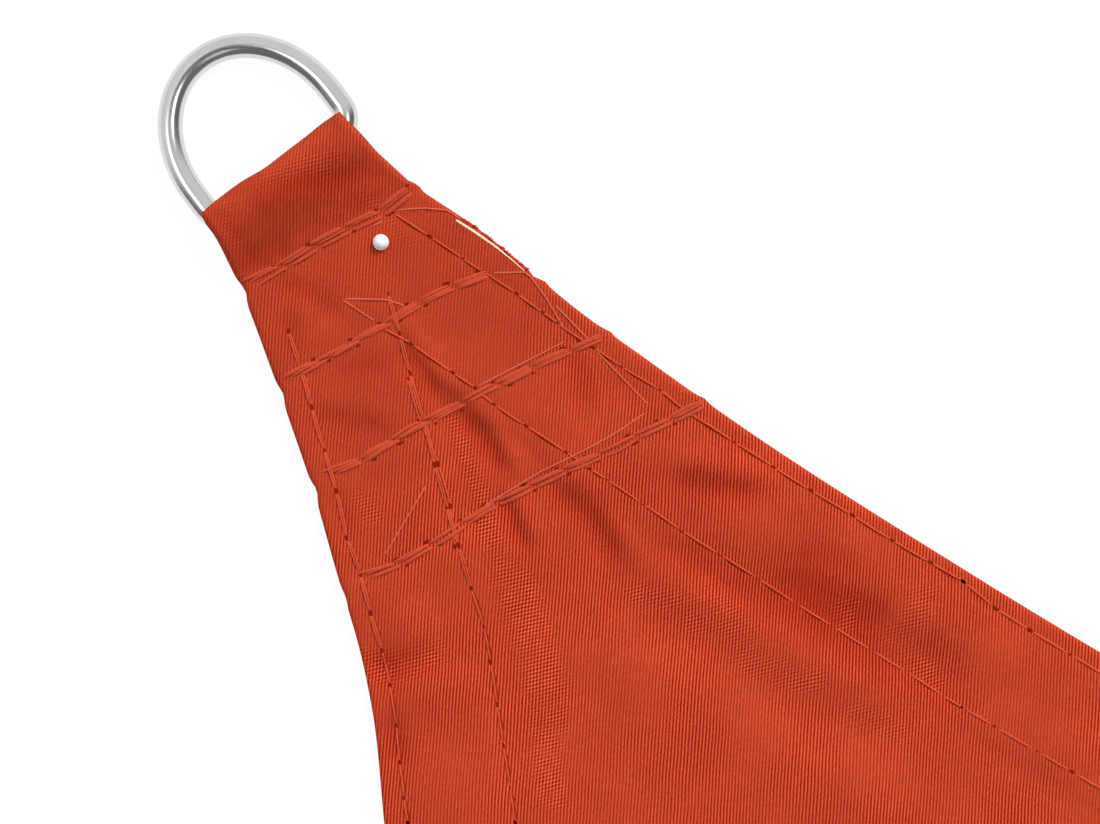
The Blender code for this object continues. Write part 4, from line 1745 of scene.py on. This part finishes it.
@dataclass
class Sewing:
    """All stitches of one kind and the needle holes that they run through."""

    shape: SailShape
    name: str
    thread: Thread
    finish: SewingThread
    seed: int
    stitches: list = field(default_factory=list)
    holes: list = field(default_factory=list)
    step_wander: float = 0.05

    def __post_init__(self) -> None:
        """Start the run of small random differences."""
        self.random = np.random.default_rng(SEED + self.seed)

    def stitch(self, corner: Corner, start: Values, end: Values, strands: tuple = SINGLE) -> None:
        """Lay one stitch between two needle holes.

        Args:
            corner: which corner.
            start: the first hole.
            end: the second hole.
            strands: how far each strand lies to the side.
        """
        thread = self.thread
        share = np.linspace(0, 1, thread.points)
        run = end - start
        sideways = np.array((-run[1], run[0])) / np.linalg.norm(run)
        bow = self.random.normal(0, thread.bow) * np.sin(math.pi * share)
        arch = thread.arch(share)
        widths = thread.end_width + (1 - thread.end_width) * arch
        widths = widths * self.random.uniform(1 - thread.unevenness, 1 + thread.unevenness)
        for strand in strands:
            beside = bow + strand * arch
            spots = start + run * share[:, None] + sideways * beside[:, None]
            self.stitches.append((corner, spots, thread.lift(arch), widths))

    def through(self, corner: Corner, places: Values, strands: tuple = SINGLE) -> None:
        """Sew a line of stitches through a list of needle holes.

        Args:
            corner: which corner.
            places: the holes' (along, across) places.
            strands: the strands of a stitch in the doubled corner.
        """
        for start, end in zip(places, places[1:]):
            sewn_twice = start[0] < self.shape.tail_end
            self.stitch(corner, start, end, strands if sewn_twice else SINGLE)
        for spot, heading in zip(places, np.gradient(places, axis=0)):
            self.holes.append((corner, spot, heading))

    def along(self, corner: Corner, route: Route, length: float, first: float = 0.0,
              holes: bool = True) -> None:
        """Sew stitches of about one length along a route.

        Args:
            corner: which corner.
            route: the route.
            length: the length of a stitch.
            first: how far along the route to start.
            holes: whether the stitches leave needle holes.
        """
        whole = route.walked[-1]
        count = max(2, round((whole - first) / length) + 1)
        steps = np.linspace(first, whole, count)
        steps[1:-1] += self.random.normal(0, self.step_wander * length, count - 2)
        places = route.walk(steps)
        if holes:
            self.through(corner, places)
        else:
            for start, end in zip(places, places[1:]):
                self.stitch(corner, start, end)

    def build(self) -> bpy.types.Object:
        """Lay every stitch on the cloth and join them in one mesh.

        Returns:
            The sewing.
        """
        runs = []
        for corner in Corner:
            own = [item for item in self.stitches if item[0] is corner]
            if not own:
                continue
            spots = np.concatenate([item[1] for item in own])
            lifts = np.concatenate([item[2] for item in own])
            height = self.shape.top(corner, spots[:, 0], spots[:, 1]) + lifts
            placed = self.shape.in_frame(corner, spots[:, 0], spots[:, 1], height)
            at = 0
            for _, points, _, widths in own:
                runs.append((placed[at:at + len(points)], widths))
                at += len(points)
        profile = (self.thread.half_width, self.thread.half_height)
        made = tubes(self.name, runs, profile, self.thread.sides)
        return dress(made, self.finish.material())


@dataclass
class NeedleHoleShades:
    """Painted shade in the needle holes at the ends of the stitches: small dark discs."""

    shape: SailShape
    finish: PlainFinish = NEEDLE_HOLE_SHADE
    half_length: float = 0.60 * MM
    half_width: float = 0.31 * MM
    lift: float = 0.06 * MM
    sizes: tuple = (0.6, 1.35)
    sides: int = 8

    def build(self, sewings: Sequence[Sewing]) -> bpy.types.Object:
        """Set a small dark disc of painted shade at each hole.

        Args:
            sewings: the sewing that the holes belong to.

        Returns:
            The holes as one object.
        """
        random = np.random.default_rng(SEED)
        bm = bmesh.new()
        holes = [hole for sewing in sewings for hole in sewing.holes]
        for corner in Corner:
            own = [hole for hole in holes if hole[0] is corner]
            spots = np.array([hole[1] for hole in own])
            heights = self.shape.top(corner, spots[:, 0], spots[:, 1]) + self.lift
            matrix = self.shape.matrix(corner)
            for (_, spot, heading), height in zip(own, heights):
                size = random.uniform(*self.sizes)
                turn = Matrix.Rotation(math.atan2(heading[0], heading[1]), 4, "Z")
                scale = Matrix.Diagonal((self.half_length * size, self.half_width * size, 1, 1))
                place = matrix @ Matrix.Translation((spot[1], spot[0], height)) @ turn @ scale
                bmesh.ops.create_circle(bm, cap_ends=True, segments=self.sides, radius=1, matrix=place)
        return dress(finish_mesh(bm, "needle_hole_shades"), self.finish.material())


@dataclass
class SailSewing:
    """The hem lines, the cross rows and the loose threads of all three corners."""

    shape: SailShape
    stitch: float = 8.5 * MM
    band_stitch: float = 7.6 * MM
    band_passes: tuple = (-0.64 * MM, -0.08 * MM, 0.58 * MM)
    outer_start: float = 17 * MM
    inner_start: float = 34 * MM
    band_margin: float = 1.5 * MM
    band_wander: float = 0.14 * MM
    band_edge: float = 0.40 * MM
    band_places: int = 9
    pass_shift: float = 0.37
    pass_start: float = 0.5
    hole_wander: float = 0.12
    line_step: float = 4 * MM
    # How far the painted shadow of a stitch lies beside it, by side.
    shadow_offsets: dict = field(default_factory=lambda: {Side.LEFT: -0.46 * MM, Side.RIGHT: 0.27 * MM})

    def hem_line(self, corner: Corner, side: Side, outer: bool) -> Route:
        """Route of one line of stitches along an edge, on the front corner past its own holes.

        Args:
            corner: which corner.
            side: which of its two edges.
            outer: whether it is the line near the edge.

        Returns:
            The route.
        """
        inset = self.shape.outer_line if outer else self.shape.inner_line
        if corner is not Corner.FRONT:
            start = self.outer_start if outer else self.inner_start
            return self.shape.edge_line(corner, side, inset, start)
        last = np.array([FRONT_HOLES[side, outer][-1]]) * MM
        line = self.shape.edge_line(corner, side, inset, last[0, 0])
        beyond = line.walk(np.arange(self.stitch, line.walked[-1], self.line_step))
        return Route(np.concatenate((last, beyond)))

    def sew_hems(self) -> Sewing:
        """Two lines of stitches along every edge.

        Returns:
            The sewing.
        """
        sewing = Sewing(self.shape, "hem_stitches", HEM_THREAD, SewingThread(), 1)
        for corner, side, outer in itertools.product(Corner, Side, (True, False)):
            sewing.along(corner, self.hem_line(corner, side, outer), self.stitch)
        return sewing

    def sew_front_corner(self) -> Sewing:
        """The front corner's own hem lines, hole by hole; the left ones are double where the cloth is.

        Returns:
            The sewing.
        """
        sewing = Sewing(self.shape, "corner_stitches", CORNER_THREAD, SewingThread(), 2)
        for (side, _), holes in FRONT_HOLES.items():
            sewing.through(Corner.FRONT, np.array(holes) * MM, DOUBLE if side is Side.LEFT else SINGLE)
        sewing.through(Corner.FRONT, np.array(DOUBLED_HOLES) * MM)
        return sewing

    def lay_stitch_shadows(self) -> Sewing:
        """Painted shadow of each stitch of the front corner: a dark strip laid beside it, where the stitch
        presses the cloth in.

        Returns:
            The painted shadows, laid like sewing.
        """
        sewing = Sewing(self.shape, "stitch_shadows", STITCH_SHADOW, STITCH_SHADOW_FINISH, 5)
        for (side, _), holes in FRONT_HOLES.items():
            places = np.array(holes) * MM
            for start, end in zip(places, places[1:]):
                sewing.stitch(Corner.FRONT, start, end, (self.shadow_offsets[side],))
        return sewing

    def sew_bands(self) -> Sewing:
        """The cross rows, each sewn several times over itself.

        Returns:
            The sewing.
        """
        sewing = Sewing(self.shape, "band_stitches", BAND_THREAD, BAND_FINISH, 3)
        for places in FRONT_BANDS:
            self.sew_band(sewing, Corner.FRONT, Route.of_mm(places))
        for corner, along in itertools.product((Corner.RIGHT, Corner.LEFT), self.shape.plain_bands):
            half = float(self.shape.half_width(corner, Side.LEFT, along)) - self.band_margin
            across = np.linspace(half, -half, self.band_places)
            row = np.stack((np.full(self.band_places, along), across), axis=-1)
            self.sew_band(sewing, corner, Route(row))
        return sewing

    def sew_band(self, sewing: Sewing, corner: Corner, route: Route) -> None:
        """Sew one cross row in several passes side by side.

        Args:
            sewing: the sewing to add to.
            corner: which corner.
            route: the row's route.
        """
        for i, offset in enumerate(self.band_passes):
            shift = offset + sewing.random.normal(0, self.band_wander)
            first = (i * self.pass_shift % 1) * self.band_stitch * self.pass_start
            sewing.along(corner, route.beside(shift), self.band_stitch, first, holes=False)
            if abs(offset) > self.band_edge:
                edge = route.beside(offset + math.copysign(self.band_edge, offset))
                spots = np.arange(first + self.band_stitch, route.walked[-1], self.band_stitch)
                wander = self.hole_wander * self.band_stitch
                places = edge.walk(spots + sewing.random.normal(0, wander, len(spots)))
                if len(places) > 1:
                    for spot, heading in zip(places, np.gradient(places, axis=0)):
                        sewing.holes.append((corner, spot, heading))

    def sew_loose_threads(self) -> Sewing:
        """Threads that run free over the front corner.

        Returns:
            The sewing.
        """
        sewing = Sewing(self.shape, "loose_threads", LOOSE_THREAD, LOOSE_FINISH, 4)
        share = np.linspace(0, 1, LOOSE_THREAD.points)
        lift = LOOSE_THREAD.lift(LOOSE_THREAD.arch(share))
        for places in LOOSE_THREADS:
            route = Route.of_mm(places)
            spots = route.walk(share * route.walked[-1])
            sewing.stitches.append((Corner.FRONT, spots, lift, np.ones(LOOSE_THREAD.points)))
        return sewing

    def build(self) -> list[bpy.types.Object]:
        """Build all the sewing and the painted shade of its needle holes.

        Returns:
            The objects.
        """
        sewings = [self.lay_stitch_shadows(), self.sew_hems(), self.sew_front_corner(), self.sew_bands(),
                   self.sew_loose_threads()]
        made = [sewing.build() for sewing in sewings]
        made.append(NeedleHoleShades(self.shape).build(sewings))
        return made


@dataclass
class CutEdgeSliver:
    """A cream sliver of painted highlight along the top layer's cut edge at the right edge, and the raw
    edge behind it.
    """

    shape: SailShape
    route: tuple = ((26.5, -22.4), (30.5, -24.05), (35.0, -25.7), (39.5, -27.0), (42.6, -27.75))
    half_width: float = 0.29 * MM
    half_height: float = 0.15 * MM
    raised: float = 0.06 * MM
    points: int = 30
    sides: int = 8
    width_shares: tuple = ((0, 0.75), (0.04, 0.85), (0.25, 1.0), (0.6, 0.7), (1.0, 0.25))
    frayed: tuple = (27.0 * MM, 43.0 * MM)
    yarns: int = 46
    yarn_seed: int = 9
    yarn_reach: tuple = (0.08 * MM, 0.32 * MM)
    yarn_radius: float = 0.10 * MM
    yarn_lean: float = 0.9
    yarn_lean_spread: float = 0.5
    yarn_points: int = 4
    yarn_sides: int = 6
    yarn_root: float = 0.3 * MM
    yarn_lift: float = 0.02 * MM
    yarn_fall: float = 0.35
    yarn_taper: float = 0.5

    def fray(self) -> bpy.types.Object:
        """Short ends of yarn along the cloth's raw edge beside the sliver.

        Returns:
            The yarns as one object.
        """
        random = np.random.default_rng(SEED + self.yarn_seed)
        share = np.linspace(0, 1, self.yarn_points)
        runs = []
        for along in np.sort(random.uniform(*self.frayed, self.yarns)):
            root = self.yarn_root - float(self.shape.half_width(Corner.FRONT, Side.RIGHT, along))
            reach = random.uniform(*self.yarn_reach)
            lean = random.normal(self.yarn_lean, self.yarn_lean_spread) * reach
            across = root - (reach + self.yarn_root) * share
            height = self.shape.top(Corner.FRONT, np.full_like(share, along), np.full_like(share, root))
            height = height * (1 - self.yarn_fall * share) + self.yarn_lift
            placed = self.shape.in_frame(Corner.FRONT, along + lean * share, across, height)
            runs.append((placed, 1 - self.yarn_taper * share))
        made = tubes("raw_edge_yarns", runs, (self.yarn_radius, self.yarn_radius), self.yarn_sides)
        return dress(made, RAW_EDGE.material())

    def build(self) -> bpy.types.Object:
        """Lay the sliver just over the cloth, narrowing towards its far end.

        Returns:
            The sliver.
        """
        route = Route.of_mm(self.route)
        share = np.linspace(0, 1, self.points)
        spots = route.walk(share * route.walked[-1])
        widths = np.interp(share, *zip(*self.width_shares))
        height = self.shape.top(Corner.FRONT, spots[:, 0], spots[:, 1]) + self.raised
        placed = self.shape.in_frame(Corner.FRONT, spots[:, 0], spots[:, 1], height)
        profile = (self.half_width, self.half_height)
        made = tubes("cut_edge_highlight_sliver", [(placed, widths)], profile, self.sides)
        return dress(made, CUT_EDGE_HIGHLIGHT.material())


# ---- studio

@dataclass(frozen=True)
class Panel:
    """A patch of the studio's dome: heading and height, size and brightness; angles in degrees."""

    heading: float
    height: float
    radius: float
    softness: float
    light: float


@dataclass
class Studio:
    """A pale floor, soft light and a camera straight above the front corner."""

    shape: SailShape
    floor_half: float = 40.0
    floor_colour: tuple = (0.06, 0.06, 0.06)
    floor_glow: float = 0.95
    floor_drop: float = 0.02 * MM
    floor_roughness: float = 0.9
    floor_specular: float = 0.1
    lens: float = 100.0
    sensor: float = 36.0
    frame: tuple = (1100, 824)
    near_clip: float = 0.01
    camera_step: float = 100.0
    cloth_level: float = 1.5 * MM
    sun_strength: float = 2.5
    sun_angle: float = 24.0
    sun_height: float = 42.0
    sun_heading: float = 50.0
    wall_light: float = 0.17
    panels: tuple = (
        Panel(112, 2, 72, 26, 0.8),
        Panel(184, 64, 9, 5, 2.6),
        Panel(8, 62, 9, 5, 2.4),
        Panel(-75, 55, 8, 8, 0.7),
        Panel(120, 86, 5, 4, 0.16),
    )

    def place_of(self, pixel: tuple[float, float]) -> Vector:
        """Place in the frame under a pixel of the photograph."""
        along, across = corner_place(*pixel)
        return self.shape.matrix(Corner.FRONT) @ Vector((across * MM, along * MM, self.cloth_level))

    def directions(self, pixel: tuple[float, float], step: float) -> tuple[Vector, Vector, Vector]:
        """The place under a pixel, and the picture's right and up directions in the frame.

        Args:
            pixel: the pixel to start from.
            step: pixels over which the directions are read.

        Returns:
            The place, the direction to the right and the direction up.
        """
        place = self.place_of(pixel)
        right = (self.place_of((pixel[0] + step, pixel[1])) - place).normalized()
        up = (self.place_of((pixel[0], pixel[1] - step)) - place).normalized()
        return place, right, up

    def set_camera(self) -> None:
        """Hang the camera straight above the middle of the picture."""
        middle, right, up = self.directions((self.frame[0] / 2, self.frame[1] / 2), self.camera_step)
        back = right.cross(up)
        data = bpy.data.cameras.new("camera")
        data.lens = self.lens
        data.sensor_width = self.sensor
        data.clip_start = self.near_clip
        camera = bpy.data.objects.new("camera", data)
        width = self.frame[0] / PIXELS_PER_MM * MM
        turn = Matrix((right, up, back)).transposed().to_4x4()
        camera.matrix_world = Matrix.Translation(middle + back * width * self.lens / self.sensor) @ turn
        bpy.context.scene.collection.objects.link(camera)
        bpy.context.scene.camera = camera

    def lay_floor(self) -> None:
        """Lay the pale floor just under the sail."""
        bm = bmesh.new()
        bmesh.ops.create_grid(bm, x_segments=1, y_segments=1, size=self.floor_half)
        floor = finish_mesh(bm, "floor")
        floor.location = (0, 0, -self.floor_drop)
        w = Wiring("pale_floor")
        w.shader.inputs["Base Color"].default_value = (*self.floor_colour, 1)
        w.surface(self.floor_roughness, self.floor_specular)
        w.shader.inputs["Emission Color"].default_value = (1, 1, 1, 1)
        w.shader.inputs["Emission Strength"].default_value = self.floor_glow
        floor.data.materials.append(w.material)

    def set_world(self) -> None:
        """Light the scene from a studio dome: panels of light between darker walls."""
        world = bpy.data.worlds.new("studio")
        bpy.context.scene.world = world
        world.use_nodes = True
        nodes, links = world.node_tree.nodes, world.node_tree.links
        heading = nodes.new("ShaderNodeTexCoord").outputs["Generated"]
        light = None
        for panel in self.panels:
            dot = nodes.new("ShaderNodeVectorMath")
            dot.operation = "DOT_PRODUCT"
            links.new(heading, dot.inputs[0])
            dot.inputs[1].default_value = self.towards(panel.heading, panel.height)
            step = nodes.new("ShaderNodeMapRange")
            step.interpolation_type = "SMOOTHSTEP"
            links.new(dot.outputs["Value"], step.inputs["Value"])
            step.inputs["From Min"].default_value = math.cos(math.radians(panel.radius + panel.softness))
            step.inputs["From Max"].default_value = math.cos(math.radians(panel.radius))
            mix = nodes.new("ShaderNodeMix")
            links.new(step.outputs[0], mix.inputs[0])
            if light is None:
                mix.inputs[2].default_value = self.wall_light
            else:
                links.new(light, mix.inputs[2])
            mix.inputs[3].default_value = panel.light
            light = mix.outputs[0]
        links.new(light, nodes["Background"].inputs["Strength"])
        nodes["Background"].inputs["Color"].default_value = (1, 1, 1, 1)

    def towards(self, heading: float, height: float) -> Vector:
        """Direction at a heading, in degrees from the picture's right towards its top, and a height.

        Args:
            heading: the heading.
            height: the angle over the floor, in degrees.

        Returns:
            The direction in the frame.
        """
        turn, rise = math.radians(heading), math.radians(height)
        _, right, up = self.directions((0, 0), 1)
        level = right * math.cos(turn) + up * math.sin(turn)
        return level * math.cos(rise) + Vector((0, 0, math.sin(rise)))

    def set_lights(self) -> None:
        """One soft sun from the side, for the folds."""
        data = bpy.data.lights.new("key", "SUN")
        data.energy = self.sun_strength
        data.angle = math.radians(self.sun_angle)
        key = bpy.data.objects.new("key", data)
        towards = self.towards(self.sun_heading, self.sun_height)
        key.matrix_world = towards.to_track_quat("Z", "Y").to_matrix().to_4x4()
        bpy.context.scene.collection.objects.link(key)
        key.visible_glossy = False

    def build(self) -> None:
        """Set the whole stage."""
        self.lay_floor()
        self.set_world()
        self.set_lights()
        self.set_camera()
        view = bpy.context.scene.view_settings
        view.view_transform = "Standard"
        view.look = "None"


def main() -> None:
    """Build and dress every piece, in order."""
    logging.basicConfig(level=logging.INFO, format="%(name)s: %(message)s")
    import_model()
    shape = SailShape()
    Studio(shape).build()
    sail = SailCloth(shape)
    cloth = sail.build()
    for corner in Corner:
        CornerRing(shape, corner).build()
    CornerStud(shape).build()
    trims = SailSewing(shape).build()
    cut_edge = CutEdgeSliver(shape)
    trims += [cut_edge.build(), cut_edge.fray()]


if __name__ == "__main__":
    main()
